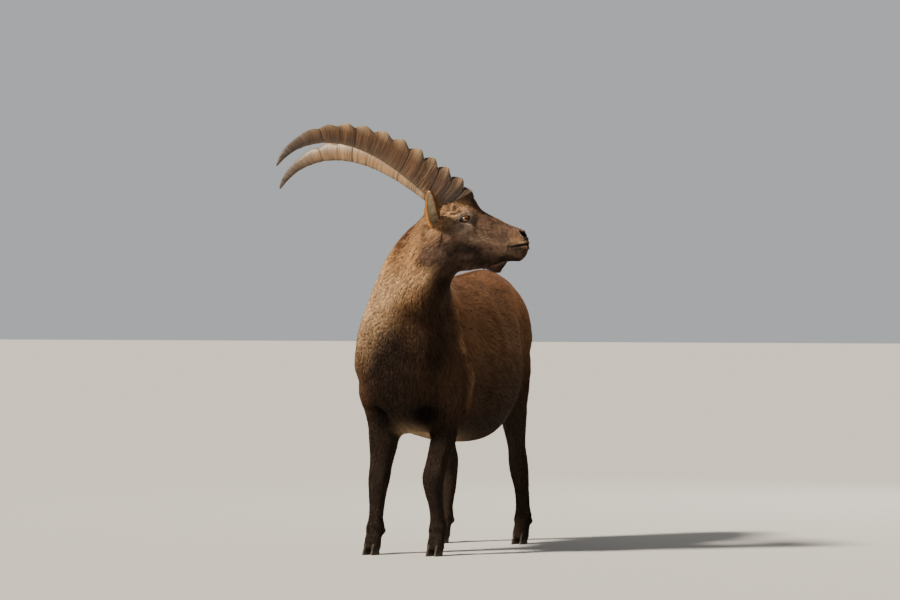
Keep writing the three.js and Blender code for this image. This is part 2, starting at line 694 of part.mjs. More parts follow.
const footOf = (rows) => vector(rows[rows.length - 1].x, rows[rows.length - 1].y - 6, 0);

// A leg down to its coronet.
function limb(rows) {
  const [point, normal] = coronet(footOf(rows));
  return parted(leg(rows), point, normal)[0];
}

// The horny pieces of one foot: two claws and two dewclaws.
function foot(name, rows) {
  const pieces = {};
  const at = footOf(rows);
  const [point, normal] = coronet(at);
  const below = point.clone().addScaledVector(normal, -GAP);
  const fetlock = rows.find((row) => row.z < 100);
  for (const toe of [-1, 1]) {
    const place = toe * at.x > 0 ? "outer" : "inner";
    const trimmed = claw(at, toe).subtract(halfSpace(below, normal));
    pieces[`${name}_claw_${place}`] = largest(trimmed);
    const peg = ball(vector(fetlock.x + toe * 16, fetlock.y + 26, 76), DEWCLAW_RADII, -25, 7);
    pieces[`${name}_dewclaw_${place}`] = largest(peg.subtract(leg(rows, GAP)));
  }
  return pieces;
}

// Locks of hair: flat, curved and tapered, with their roots sunk in what carries them

const LOCK_RINGS = 4;
const LOCK_THICKNESS = 0.34;

// Repeatable scatter, from -1 to 1.
function scatter(seed) {
  let state = seed;
  return () => {
    state = (state * 48271) % 2147483647;
    return (state / 2147483647) * 2 - 1;
  };
}

// One lock: root, the direction it sets out in, where its tip sags to and the way it is flat.
function lock(root, direction, tip, across, width) {
  const rings = [];
  for (let i = 0; i < LOCK_RINGS; i++) {
    const t = i / (LOCK_RINGS - 1);
    const out = root.clone().addScaledVector(direction, t);
    const at = out.addScaledVector(tip, t * t);
    const slope = direction.clone().addScaledVector(tip, 2 * t).normalize();
    const flat = across.clone().addScaledVector(slope, -across.dot(slope)).normalize();
    const thick = vector(0, 0, 0).crossVectors(slope, flat);
    const half = (width / 2) * [0.8, 1, 0.74, 0.16][i];
    rings.push([0, 1, 2, 3].map((k) => {
      const angle = (k / 4) * 2 * Math.PI;
      const point = at.clone().addScaledVector(flat, half * Math.cos(angle));
      return point.addScaledVector(thick, half * LOCK_THICKNESS * Math.sin(angle));
    }));
  }
  return skinned(rings);
}

// Tail: a short dock with a tuft

const TAIL_LOCKS = 13;
const TAIL = [
  { y: 470, z: 868, half: 30, rise: 22, drop: 26 },
  { y: 506, z: 854, half: 27, rise: 20, drop: 20 },
  { y: 534, z: 830, half: 25, rise: 16, drop: 15 },
  { y: 550, z: 798, half: 21, rise: 13, drop: 12 },
  { y: 556, z: 764, half: 15, rise: 9, drop: 9 },
];

function tail() {
  const rows = through(TAIL, 9);
  const rings = rows.map((row, i) => {
    const before = rows[Math.max(i - 1, 0)];
    const after = rows[Math.min(i + 1, rows.length - 1)];
    const tangent = vector(0, after.y - before.y, after.z - before.z).normalize();
    const up = vector(0, 0, 0).crossVectors(X, tangent);
    return oval(vector(0, row.y, row.z), X, up, row, 12);
  });
  return skinned(rings);
}

function tailLocks() {
  const noise = scatter(71);
  const locks = [];
  for (let i = 0; i < TAIL_LOCKS; i++) {
    const share = i / (TAIL_LOCKS - 1);
    const row = through(TAIL, 31)[Math.round(15 + 14 * share)];
    const around = i * 2.4;
    const out = vector(Math.cos(around), 0.6 * Math.sin(around), 0);
    const root = vector(row.half * 0.5 * out.x, row.y + row.rise * 0.5 * out.y, row.z);
    const length = 46 + 8 * noise();
    const direction = vector(out.x * 12, 8 + out.y * 10, -length * 0.7);
    const sag = vector(-out.x * 8, -6 - out.y * 4, -length * 0.45);
    const across = vector(-out.y, out.x, 0.1 * noise());
    locks.push(lock(root, direction, sag, across, 17 + 2 * noise()));
  }
  return joined(locks);
}

// Beard, in the head's frame: a short tuft on a pad under the chin

const BEARD_LOCKS = 12;
const BEARD_ROOT = vector(0, -136, -112);
// The jaw's slope, which the beard's seam follows.
const JAW_SLOPE = 33;

function beard() {
  const noise = scatter(23);
  const locks = [ball(BEARD_ROOT.clone().add(vector(0, 0, -9)), [12, 24, 12], JAW_SLOPE, 10)];
  for (let i = 0; i < BEARD_LOCKS; i++) {
    const reach = Math.sqrt((i + 0.5) / BEARD_LOCKS);
    const around = i * 2.4;
    const out = vector(Math.cos(around), Math.sin(around), 0).multiplyScalar(reach);
    const along = 19 * out.y;
    const slope = Math.tan(radians(JAW_SLOPE));
    const root = BEARD_ROOT.clone().add(vector(9 * out.x, along, -slope * along - 13));
    const length = 22 + 5 * noise() - 5 * out.y;
    const direction = vector(5 * out.x, 4 + 5 * out.y, -length * 0.62);
    const sag = vector(-3 * out.x, 9 + 2 * noise(), -length * 0.42);
    const across = vector(out.y, 1 - out.x, 0.1);
    locks.push(lock(root, direction, sag, across, 12 + 2 * noise()));
  }
  return joined(locks);
}

function beardFrame() {
  const frame = new THREE.Matrix4().makeRotationX(radians(-JAW_SLOPE));
  return frame.setPosition(BEARD_ROOT);
}

// Planes that part the head from the neck and the neck from the trunk.
const NECK_TOP = vector(120, -412, 1052);
const NECK_TOP_NORMAL = vector(0.62, 0.16, 0.77);
const NECK_FOOT = vector(0, -335, 825);
const NECK_FOOT_NORMAL = vector(0.06, -0.61, 0.79);
// Boxes that part the legs from the trunk, and the heights of their middle joints.
const LEGS = {
  leg_fore_left: { rows: FORE_LEFT, from: [60, -420, -10], to: [240, -212, 446], bend: 290 },
  leg_fore_right: { rows: FORE_RIGHT, from: [-240, -420, -10], to: [-50, -212, 446], bend: 280 },
  leg_hind_left: { rows: HIND_LEFT, from: [34, 262, -10], to: [260, 560, 520], bend: 318 },
  leg_hind_right: { rows: HIND_RIGHT, from: [-260, 232, -10], to: [-34, 560, 520], bend: 318 },
};
const TAIL_BOX = [vector(-60, 522, 640), vector(60, 680, 900)];
// In the head's frame, and in a frame along the left ear.
const BEARD_BOX = [vector(-30, -34, -70), vector(30, 48, -11)];
const EAR_BOX = [vector(-30, -30, 22), vector(30, 14, 200)];

function assemble() {
  const placement = headPlacement();
  const placed = (made) => {
    const geometry = geometryOf(made);
    geometry.applyMatrix4(placement);
    return solid(geometry);
  };
  const sides = { left: 1, right: -1 };
  const pieces = {};

  // One solid of everything under the hide
  let skull = skinned(through(HEAD, HEAD_RINGS).map(headRing)).add(beard());
  for (const side of Object.values(sides)) {
    skull = skull.add(eyelids(side)).add(hornSeat(side)).add(ear(side));
  }
  const limbs = Object.values(LEGS).map(({ rows }) => limb(rows));
  let flesh = joined([torso(), neck(), placed(skull), tail(), tailLocks(), ...limbs]);

  // Openings of the face, and the seats of the eyes and horns
  for (const [name, side] of Object.entries(sides)) {
    const nostril = vector(side * NOSTRIL.x, NOSTRIL.y, NOSTRIL.z);
    const seats = [ball(nostril, NOSTRIL_RADII, NOSTRIL_TILT, 12), horn(side, GAP)];
    for (const seat of [...seats, eyeball(side, GAP), eyeOpening(side)]) {
      flesh = flesh.subtract(placed(seat));
    }
    pieces[`eye_${name}`] = placed(eyeball(side, 0));
    pieces[`horn_${name}`] = placed(horn(side));
  }
  flesh = flesh.subtract(placed(mouthSlot()));

  // Parting
  for (const [name, side] of Object.entries(sides)) {
    const frame = placement.clone().multiply(earFrame(side));
    [pieces[`ear_${name}`], flesh] = carved(flesh, ...EAR_BOX, frame);
  }
  const chin = placement.clone().multiply(beardFrame());
  [pieces.beard, flesh] = carved(flesh, ...BEARD_BOX, chin);
  for (const [name, { rows, from, to, bend }] of Object.entries(LEGS)) {
    const [whole, rest] = carved(flesh, vector(...from), vector(...to));
    const [upper, lower] = parted(whole, vector(0, 0, bend), Z);
    flesh = rest;
    Object.assign(pieces, { [`${name}_upper`]: upper, [`${name}_lower`]: lower });
    Object.assign(pieces, foot(name, rows));
  }
  [pieces.tail, flesh] = carved(flesh, ...TAIL_BOX);
  const [head, below] = parted(flesh, NECK_TOP, NECK_TOP_NORMAL);
  const [neckPiece, trunk] = parted(below, NECK_FOOT, NECK_FOOT_NORMAL);
  return { head, neck: neckPiece, torso: trunk, ...pieces };
}

// Materials by what a piece is made of

const finishes = {
  coat: new THREE.MeshStandardMaterial({ color: 0x6d4c35, roughness: 0.9, metalness: 0 }),
  dark_coat: new THREE.MeshStandardMaterial({ color: 0x2f2119, roughness: 0.9, metalness: 0 }),
  horn: new THREE.MeshStandardMaterial({ color: 0x8a7157, roughness: 0.6, metalness: 0 }),
  hoof: new THREE.MeshStandardMaterial({ color: 0x2b2622, roughness: 0.5, metalness: 0 }),
  eye: new THREE.MeshStandardMaterial({ color: 0x9a5a26, roughness: 0.1, metalness: 0 }),
};

function finishOf(name) {
  if (name.startsWith("horn")) return finishes.horn;
  if (name.startsWith("eye")) return finishes.eye;
  if (name.includes("claw")) return finishes.hoof;
  if (name.startsWith("leg") || name === "tail" || name === "beard") return finishes.dark_coat;
  return finishes.coat;
}

const ibex = new THREE.Group();
for (const [name, made] of Object.entries(assemble())) {
  const mesh = new THREE.Mesh(geometryOf(made), finishOf(name));
  mesh.name = name;
  ibex.add(mesh);
}

// The part's origin is the middle of its box at floor level.
const box = new THREE.Box3().setFromObject(ibex);
ibex.position.set(-(box.min.x + box.max.x) / 2, -(box.min.y + box.max.y) / 2, -box.min.z);

export default ibex;
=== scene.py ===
"""Looks of the life-size alpine ibex: one skin, a coat of tufts, horns, claws and eyes."""
import math

import bmesh
import bpy
import numpy as np
from mathutils import Matrix, Vector
from mathutils.bvhtree import BVHTree
from mathutils.kdtree import KDTree


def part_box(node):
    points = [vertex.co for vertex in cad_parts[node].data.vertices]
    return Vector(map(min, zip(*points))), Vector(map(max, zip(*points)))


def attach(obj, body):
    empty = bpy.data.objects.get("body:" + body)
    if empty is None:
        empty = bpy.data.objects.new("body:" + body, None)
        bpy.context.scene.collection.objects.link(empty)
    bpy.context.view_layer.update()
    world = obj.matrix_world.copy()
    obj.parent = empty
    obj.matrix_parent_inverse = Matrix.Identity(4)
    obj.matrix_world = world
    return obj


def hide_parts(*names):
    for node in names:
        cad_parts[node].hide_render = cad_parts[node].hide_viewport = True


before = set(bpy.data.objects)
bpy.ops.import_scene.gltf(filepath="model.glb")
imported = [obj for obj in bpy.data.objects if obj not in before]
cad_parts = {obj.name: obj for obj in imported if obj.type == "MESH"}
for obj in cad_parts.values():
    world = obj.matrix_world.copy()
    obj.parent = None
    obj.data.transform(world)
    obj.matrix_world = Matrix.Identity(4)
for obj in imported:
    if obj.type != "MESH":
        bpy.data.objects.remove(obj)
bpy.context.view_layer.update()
collection = bpy.context.scene.collection
WORD = np.float32
SIDEWAYS = np.array([1.0, 0, 0])

# Sizes below are millimetres in the frame that the animal was drawn in: the body faces -y, its left
# side is +x, and z is up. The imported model's frame is that one, shifted along the floor.
TURN = 113
HEAD_PITCH = -12
HEAD_ROLL = 6.5
EYES_MIDDLE = np.array([222.0, -372.0, 1100.0])
EYE_RADIUS = 15.7
EYE_CENTRE = np.array([51.0, 1.0, -5.0])


def corner_mean(name):
    low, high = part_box(name)
    return np.array((low + high) / 2) * 1000


def turning(axis, degrees):
    return np.array(Matrix.Rotation(math.radians(degrees), 3, axis))


HEAD_TURN = turning("Z", TURN) @ turning("X", -HEAD_PITCH) @ turning("Y", HEAD_ROLL)
MIRROR = np.array([-1.0, 1.0, 1.0])


def from_head(points):
    """Points of the head's own frame (x left, y back, z up) in the body's frame."""
    return np.asarray(points) @ HEAD_TURN.T + EYES_MIDDLE


def from_head_way(way):
    return HEAD_TURN @ unit(np.array(way, float))


def to_head(points):
    return (np.asarray(points) - EYES_MIDDLE) @ HEAD_TURN


def in_head(made):
    """Points and faces given in the head's frame, in the body's."""
    points, faces = made
    return from_head(points), faces


def flipped(points, side):
    """Points drawn for the left side, for the side asked: 1 is left and -1 right."""
    return points * np.array([side, 1, 1])


EYES_DRAWN = from_head((EYE_CENTRE + EYE_CENTRE * MIRROR) / 2)
SHIFT = (corner_mean("eye_left") + corner_mean("eye_right")) / 2 - EYES_DRAWN
SHIFT[2] = 0.0


def placed(points):
    """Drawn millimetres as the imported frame's metres."""
    return (np.asarray(points) + SHIFT) / 1000


# Camera, at the photograph's angle: level, 13 m away and 23 degrees round to the animal's left
CAMERA_PLACE = np.array([5088.0, -11963.0, 840.0])
CAMERA_AIM = np.array([-0.3907, 0.9205, 0.0])
LENS = 154.3
SENSOR = 36.0


def make_camera():
    data = bpy.data.cameras.new("camera")
    data.lens = LENS
    data.sensor_width = SENSOR
    data.clip_end = 100
    camera = bpy.data.objects.new("camera", data)
    camera.location = placed(CAMERA_PLACE)
    camera.rotation_euler = Vector(CAMERA_AIM).to_track_quat("-Z", "Y").to_euler()
    collection.objects.link(camera)
    bpy.context.scene.camera = camera


make_camera()


# Curves and rings

def rows_of(names, *rows):
    """Rows of named sizes as one array for each name."""
    values = np.array(rows, float)
    return {name: values[:, i] for i, name in enumerate(names.split())}


def curve_at(table, t):
    """The smooth curve that the solids use, through a table's rows, at places counted in rows."""
    last = len(table) - 1
    table = np.vstack([2 * table[0] - table[1], table, 2 * table[last] - table[last - 1]])
    k = np.minimum(t.astype(int), last - 1)
    f = (t - k)[:, None]
    a, b, c, d = (table[k + i] for i in range(4))
    bend = 2 * a - 5 * b + 4 * c - d + f * (3 * (b - c) + d - a)
    return b + 0.5 * f * (c - a + f * bend)


def through(rows, count):
    """The same named sizes at more places along."""
    table = np.stack(list(rows.values()), 1)
    made = curve_at(table, np.linspace(0, len(table) - 1, count))
    return {name: made[:, i] for i, name in enumerate(rows)}


def centres_of(rows):
    return np.stack([rows["x"], rows["y"], rows["z"]], 1)


def tangents_of(centres):
    return unit(np.gradient(centres, axis=0))


def round_turn(count):
    return np.linspace(0, 2 * np.pi, count, endpoint=False)


def power(value, exponent):
    return np.sign(value) * np.abs(value) ** exponent


def smoothstep(low, high, value):
    t = np.clip((value - low) / (high - low), 0, 1)
    return t * t * (3 - 2 * t)


def unit(vectors):
    length = np.linalg.norm(vectors, axis=-1, keepdims=True)
    return vectors / np.maximum(length, 1e-9)


def ovals(centres, sides, ups, rows, count):
    """Oval rings: rise and drop reach up and down, crest and keel say how square each half is."""
    angle = round_turn(count)[None]
    sine, cosine = np.sin(angle), np.cos(angle)
    upper = sine >= 0
    crest, keel = (rows.get(name, np.full(len(centres), 2.0))[:, None] for name in ("crest", "keel"))
    exponent = 2 / np.where(upper, crest, keel)
    reach = np.where(upper, rows["rise"][:, None], rows["drop"][:, None])
    across = rows["half"][:, None] * power(cosine, exponent)
    along = reach * power(sine, exponent)
    return centres[:, None] + across[..., None] * sides[:, None] + along[..., None] * ups[:, None]


def sculpted(points, marks):
    """Muscles and hollows: each mark pushes the surface near it, alike on both sides of x = 0."""
    moved = points.copy()
    side = np.where(points[..., 0] < 0, -1.0, 1.0)
    flip = np.stack([side, np.ones_like(side), np.ones_like(side)], -1)
    for at, size, push in marks:
        far = (((points * flip - np.array(at)) / np.array(size)) ** 2).sum(-1)
        moved += np.exp(-far)[..., None] * np.array(push) * flip
    return moved


def tube(rings, closed=True):
    """Points and faces of a tube through rings, with capped ends where it is closed."""
    count, sides = rings.shape[:2]
    k = np.arange(count - 1)[:, None] * sides
    i = np.arange(sides)[None]
    j = (i + 1) % sides
    quads = np.stack([k + i, k + j, k + sides + j, k + sides + i], -1).reshape(-1, 4)
    faces = [tuple(q) for q in quads.tolist()]
    if closed:
        faces.append(tuple(range(sides - 1, -1, -1)))
        faces.append(tuple(range((count - 1) * sides, count * sides)))
    return rings.reshape(-1, 3), faces


def joined(pieces):
    """Several (points, faces) as one."""
    points, faces, start = [], [], 0
    for some_points, some_faces in pieces:
        points.append(some_points)
        faces += [tuple(v + start for v in face) for face in some_faces]
        start += len(some_points)
    return np.vstack(points), faces


def mesh_of(name, points, faces):
    mesh = bpy.data.meshes.new(name)
    mesh.from_pydata([tuple(p) for p in points.tolist()], [], faces)
    mesh.update()
    return mesh


def object_of(name, mesh):
    piece = bpy.data.objects.new(name, mesh)
    collection.objects.link(piece)
    return piece


def smooth_shaded(piece):
    piece.data.polygons.foreach_set("use_smooth", np.ones(len(piece.data.polygons), bool))


def values_of(items, name, width, kind=WORD):
    values = np.empty(len(items) * width, kind)
    items.foreach_get(name, values)
    return values.reshape(-1, width) if width > 1 else values


def coordinates(mesh):
    return values_of(mesh.vertices, "co", 3).astype(float)


def vertex_normals(mesh):
    return values_of(mesh.vertex_normals, "vector", 3).astype(float)


def set_coordinates(mesh, points):
    mesh.vertices.foreach_set("co", points.astype(WORD).ravel())
    mesh.update()


# Trunk

TORSO = rows_of(
    "y top bottom wide half crest keel",
    (-492, 760, 640, 700, 42, 2, 2),
    (-478, 800, 566, 690, 88, 2.2, 2),
    (-442, 838, 494, 668, 130, 2.5, 2.1),
    (-380, 872, 438, 648, 156, 2.7, 2.2),
    (-290, 905, 408, 625, 176, 2.3, 2.4),
    (-180, 930, 392, 620, 188, 1.9, 2.6),
    (-60, 920, 374, 618, 198, 2, 2.7),
    (60, 917, 360, 620, 204, 2.1, 2.6),
    (170, 930, 368, 630, 200, 2.1, 2.3),
    (270, 942, 420, 664, 174, 2, 2),
    (350, 942, 494, 700, 156, 1.85, 2),
    (430, 918, 570, 722, 133, 1.85, 2),
    (490, 880, 645, 745, 97, 1.9, 2),
    (522, 830, 710, 765, 50, 2, 2),
)
TORSO_MARKS = [
    ((118, -205, 820), (70, 70, 110), (12, 0, 0)),
    ((156, -385, 640), (70, 60, 80), (10, -6, 0)),
    ((188, -235, 590), (70, 70, 90), (12, 0, 0)),
    ((195, -105, 640), (60, 45, 130), (-9, 0, 0)),
    ((180, 262, 700), (60, 60, 80), (-16, 0, 0)),
    ((120, 262, 885), (50, 55, 40), (11, 0, 7)),
    ((140, 385, 690), (70, 80, 110), (5, 0, 0)),
    ((60, 500, 800), (50, 50, 70), (4, 14, 0)),
    ((0, 480, 905), (26, 60, 40), (0, 0, 10)),
]


def torso():
    rows = through(TORSO, 160)
    rows["rise"] = rows["top"] - rows["wide"]
    rows["drop"] = rows["wide"] - rows["bottom"]
    centres = np.stack([np.zeros(160), rows["y"], rows["wide"]], 1)
    sides, ups = np.tile(SIDEWAYS, (160, 1)), np.tile([0, 0, 1.0], (160, 1))
    return tube(sculpted(ovals(centres, sides, ups, rows, 120), TORSO_MARKS))


# Neck

NECK = rows_of(
    "x y z half rise drop nape",
    (0, -150, 720, 96, 128, 150, 90),
    (2, -235, 748, 124, 146, 160, 91),
    (8, -312, 805, 150, 168, 168, 96),
    (38, -374, 872, 128, 146, 152, 112),
    (73, -408, 944, 110, 112, 140, 142),
    (115, -418, 1012, 95, 93, 118, 172),
    (150, -408, 1058, 74, 80, 92, 196),
)


def neck():
    rows = through(NECK, 80)
    centres = centres_of(rows)
    tangents = tangents_of(centres)
    nape = np.radians(rows["nape"])
    facing = np.stack([np.cos(nape), np.sin(nape), np.zeros(len(nape))], 1)
    ups = unit(facing - (facing * tangents).sum(1, keepdims=True) * tangents)
    return tube(ovals(centres, np.cross(ups, tangents), ups, rows, 96))


# Head

HEAD = rows_of(
    "y top bottom crown brow cheek jaw",
    (148, -22, -112, 30, 50, 52, 34),
    (112, 18, -150, 44, 72, 74, 46),
    (72, 42, -172, 46, 70, 73, 46),
    (32, 70, -177, 44, 65, 68, 42),
    (8, 88, -176, 38, 63, 64, 39),
    (-16, 76, -171, 41, 60, 60, 36),
    (-42, 49, -162, 36, 51, 54, 33),
    (-72, 37, -151, 29, 43, 47, 30),
    (-104, 29, -139, 25, 37, 41, 27),
    (-134, 20, -122, 22, 33, 36, 24),
    (-160, 15, -107, 20, 31, 34, 22),
    (-182, 12, -98, 19, 30, 33, 21),
    (-200, 3, -92, 17, 28, 31, 19),
    (-213, -13, -80, 13, 22, 25, 15),
    (-221, -30, -64, 6, 11, 12, 7),
)
HEAD_MARKS = [
    ((62, 4, 26), (30, 26, 13), (6, 0, 1)),
    ((62, -6, -30), (30, 34, 14), (5, 0, 0)),
    ((50, -40, -6), (26, 22, 16), (-5, 0, 0)),
    ((70, 45, -85), (30, 42, 50), (6, 0, 0)),
    ((40, -112, -50), (24, 34, 26), (-4, 0, 0)),
    ((30, -190, -30), (20, 24, 14), (4, 0, 0)),
    ((24, -198, -6), (16, 14, 9), (3, 0, 0)),
    ((0, -196, -90), (26, 22, 16), (0, -2, -3)),
    ((32, -150, -58), (20, 16, 10), (-2, 0, 0)),
]
# Depths down the face, as shares of a section's height, where the half widths are given
FACE_LEVELS = (0.1, 0.36, 0.62, 0.9)


def skull():
    rows = through(HEAD, 120)
    mirror = np.array([-1, 1])
    rings = []
    for i, y in enumerate(rows["y"]):
        row = {name: values[i] for name, values in rows.items()}
        height = row["top"] - row["bottom"]
        controls = [np.array([0, row["top"]])]
        for name, share in zip(("crown", "brow", "cheek", "jaw"), FACE_LEVELS):
            controls.append(np.array([row[name], row["top"] - share * height]))
        controls.append(np.array([0, row["bottom"]]))
        controls = np.array([controls[1] * mirror, *controls, controls[4] * mirror])
        left = curve_at(controls, np.linspace(1, 6, 45))
        left[0, 0] = left[-1, 0] = 0
        rings.append(np.insert(np.vstack([left, left[-2:0:-1] * mirror]), 1, y, axis=1))
    return in_head(tube(sculpted(np.array(rings), HEAD_MARKS)))


def ball(centre, radii, tilt=0.0, sides=32):
    """A squashed ball, tilted about the sideways axis."""
    level = np.linspace(0, np.pi, sides // 2 + 1)[1:-1, None]
    angle = round_turn(sides)[None]
    flat = np.sin(level)
    rings = np.stack([flat * np.cos(angle), flat * np.sin(angle), np.cos(level) + 0 * angle], -1)
    return tube(rings * np.array(radii) @ turning("X", tilt).T + np.array(centre))


# Horns

HORN_LENGTH = 706
HORN_BASE_DEPTH = 106
HORN_BASE_WIDTH = 64
HORN_RISE = 25.2
HORN_BEND = 104.2
HORN_BEND_GROWTH = 2.35
HORN_BASE = np.array([36.5, 48.5, 56])
HORN_BASE_SKEW = 26.5
HORN_SKEW_FADE = 0.1
HORN_SPREAD = 228
KNOBS = (0.006, 0.052, 0.116, 0.192, 0.267, 0.352, 0.439, 0.531, 0.607, 0.69, 0.772)
KNOBS_END = 0.85
KNOB_HEIGHT = 15
SIDE_RIB_HEIGHT = 2.4
HORN_THINNING = 0.63
HORN_UPRIGHT = math.sqrt(HORN_LENGTH**2 - HORN_SPREAD**2)
HORN_LEAN = HORN_SPREAD / HORN_UPRIGHT


def horn_line(t):
    """Rise and place of the left horn's middle line at shares of its length."""
    fine = np.linspace(0, 1, 1601)
    rise = np.radians(HORN_RISE - HORN_BEND * fine**HORN_BEND_GROWTH)
    step = HORN_UPRIGHT / 1600
    y = HORN_BASE[1] + np.concatenate([[0], np.cumsum(np.cos(rise[:-1]) * step)])
    z = HORN_BASE[2] + np.concatenate([[0], np.cumsum(np.sin(rise[:-1]) * step)])
    x = HORN_BASE[0] + HORN_SPREAD * fine
    middle = np.stack([np.interp(t, fine, axis) for axis in (x, y, z)], 1)
    return np.interp(t, fine, rise), middle


def knob_swell(t):
    """How far the front face stands out, from 0 between knobs to 1 on one."""
    edges = np.array([*KNOBS, KNOBS_END])
    k = np.clip(np.searchsorted(edges, t, side="right") - 1, 0, len(KNOBS) - 1)
    phase = (t - edges[k]) / (edges[k + 1] - edges[k])
    turns = np.where(k == len(KNOBS) - 1, 1, 2)
    wave = 0.5 + 0.5 * np.cos(turns * np.pi * phase)
    swell = wave * np.minimum(1, 2.4 * (1.02 - t) - 0.3)
    return np.where(t >= KNOBS_END, 0, np.where(t < KNOBS[0], 1, swell))


def horn_seat(side):
    """The rise of the skull under a horn: rings down from its root, wider or narrower than it."""
    _, middle = horn_line(np.array([0.0]))
    slant = math.radians(HORN_RISE + HORN_BASE_SKEW)
    ahead = np.array([0, -math.sin(slant), math.cos(slant)])
    square = np.array([0, math.cos(slant), math.sin(slant)])
    angle = round_turn(48)
    rings = []
    for down, grow in ((42, -14), (16, -2), (1, 0.5)):
        forward = (HORN_BASE_DEPTH / 2 + 6 + grow) * np.cos(angle)
        sideways = (HORN_BASE_WIDTH / 2 + grow) * np.sin(angle)
        ring = middle[0] - square * down + forward[:, None] * ahead + sideways[:, None] * SIDEWAYS
        rings.append(flipped(ring, side))
    return in_head(tube(np.array(rings)))


# Ears, in the head's frame

EAR_LENGTH = 138
EAR_ROOT = np.array([64, 86, -48])
EAR_AXIS = unit(np.array([0.62, 0.32, 0.66]))
EAR_FACING = np.array([0.6, -0.74, -0.2])
EAR_FACING = unit(EAR_FACING - EAR_FACING @ EAR_AXIS * EAR_AXIS)
EAR = rows_of(
    "along half shell cup",
    (-0.16, 15, 18, 2),
    (0, 19, 22, 2.5),
    (0.14, 23, 24, 10),
    (0.34, 27, 25, 18),
    (0.58, 25, 22, 16),
    (0.8, 18, 15, 10.5),
    (0.94, 9.5, 8.5, 5),
    (1, 2.8, 3.6, 1.4),
)
EAR_CUP_FLOOR = 30
EAR_BASIS = np.stack([np.cross(EAR_FACING, EAR_AXIS), EAR_FACING, EAR_AXIS], 1)


def from_ear(points, side):
    """Points of an ear's frame (x across, y out of the cup, z to the tip) in the body's frame."""
    return from_head(flipped(flipped(points, side) @ EAR_BASIS.T + EAR_ROOT, side))


def ear_way(side):
    """The way that an ear's cup faces, in the body's frame."""
    return HEAD_TURN @ flipped(EAR_FACING, side)


def to_ear(points, side):
    """Points of the body's frame in an ear's own frame."""
    return flipped((flipped(to_head(points), side) - EAR_ROOT) @ EAR_BASIS, side)


def ear(side):
    rows = through(EAR, 60)
    arc = np.linspace(-0.5, 0.5, 25) * np.pi
    rings = []
    for along, half, shell, cup in zip(*rows.values()):
        outer = np.stack([half * np.sin(arc), -shell * np.cos(arc)], 1)
        inner = np.stack([0.86 * half * np.sin(arc), 1.0 - 0.94 * cup * np.cos(arc)], 1)
        ring = np.vstack([outer, inner[::-1]])
        rings.append(np.column_stack([ring, np.full(len(ring), along * EAR_LENGTH)]))
    points, faces = tube(np.array(rings))
    return from_ear(points, side), faces


# Legs

FORE_LEFT = rows_of(
    "x y z half rise drop",
    (104, -290, 668, 50, 62, 62),
    (116, -298, 610, 60, 74, 80),
    (122, -294, 545, 60, 74, 84),
    (118, -282, 490, 53, 60, 68),
    (114, -278, 440, 45, 50, 52),
    (107, -290, 375, 42, 44, 42),
    (96, -308, 312, 36, 36, 35),
    (89, -324, 258, 37, 37, 34),
    (89, -322, 218, 32, 30, 31),
    (93, -312, 165, 25, 23, 25),
    (95, -304, 122, 25, 23, 26),
    (96, -302, 90, 31, 27, 31),
    (96, -312, 62, 28, 24, 25),
    (97, -324, 34, 29, 27, 26),
    (97, -330, 12, 29, 28, 26),
)
FORE_RIGHT = rows_of(
    "x y z half rise drop",
    (-104, -290, 668, 50, 62, 62),
    (-116, -298, 610, 60, 74, 80),
    (-122, -294, 545, 60, 74, 84),
    (-116, -284, 490, 56, 62, 70),
    (-109, -280, 440, 55, 56, 57),
    (-106, -288, 375, 50, 48, 46),
    (-109, -300, 305, 39, 37, 35),
    (-113, -310, 248, 36, 36, 34),
    (-116, -313, 208, 31, 29, 31),
    (-119, -314, 160, 26, 24, 26),
    (-121, -316, 120, 25, 23, 26),
    (-122, -318, 90, 31, 27, 31),
    (-123, -329, 62, 28, 24, 25),
    (-123, -341, 34, 29, 27, 26),
    (-123, -347, 12, 29, 28, 26),
)
HIND_LEFT = rows_of(
    "x y z half rise drop",
    (80, 352, 780, 44, 72, 82),
    (90, 350, 710, 52, 96, 104),
    (98, 336, 630, 56, 110, 116),
    (104, 322, 556, 54, 94, 100),
    (106, 326, 490, 48, 74, 70),
    (103, 350, 415, 41, 52, 48),
    (97, 384, 342, 31, 33, 36),
    (96, 402, 290, 32, 33, 44),
    (99, 406, 246, 32, 32, 36),
    (109, 402, 188, 26, 25, 26),
    (116, 395, 128, 25, 24, 26),
    (118, 392, 92, 31, 27, 31),
    (119, 380, 63, 28, 24, 25),
    (119, 368, 34, 29, 27, 26),
    (119, 362, 12, 29, 28, 26),
)
HIND_RIGHT_ADVANCE = 52
HIND_RIGHT_SPREAD = 46


def hind_right():
    lower = np.clip((710 - HIND_LEFT["z"]) / 340, 0, 1)
    spread = HIND_RIGHT_SPREAD * lower * np.where(HIND_LEFT["z"] < 200, 0.75, 1)
    rows = dict(HIND_LEFT)
    rows["x"] = -HIND_LEFT["x"] - spread
    rows["y"] = HIND_LEFT["y"] - HIND_RIGHT_ADVANCE * lower
    return rows


LEGS = {
    "leg_fore_left": FORE_LEFT,
    "leg_fore_right": FORE_RIGHT,
    "leg_hind_left": HIND_LEFT,
    "leg_hind_right": hind_right(),
}


def leg(rows):
    line = through(rows, 110)
    centres = centres_of(line)
    tangents = tangents_of(centres)
    sides = unit(SIDEWAYS - (tangents @ SIDEWAYS)[:, None] * tangents)
    line["crest"] = line["keel"] = np.full(len(centres), 2.1)
    return tube(ovals(centres, sides, np.cross(sides, tangents), line, 48))


# Tail

TAIL = rows_of(
    "x y z half rise drop",
    (0, 470, 868, 30, 22, 26),
    (0, 506, 854, 27, 20, 20),
    (0, 534, 830, 25, 16, 15),
    (0, 550, 798, 21, 13, 12),
    (0, 556, 764, 15, 9, 9),
)


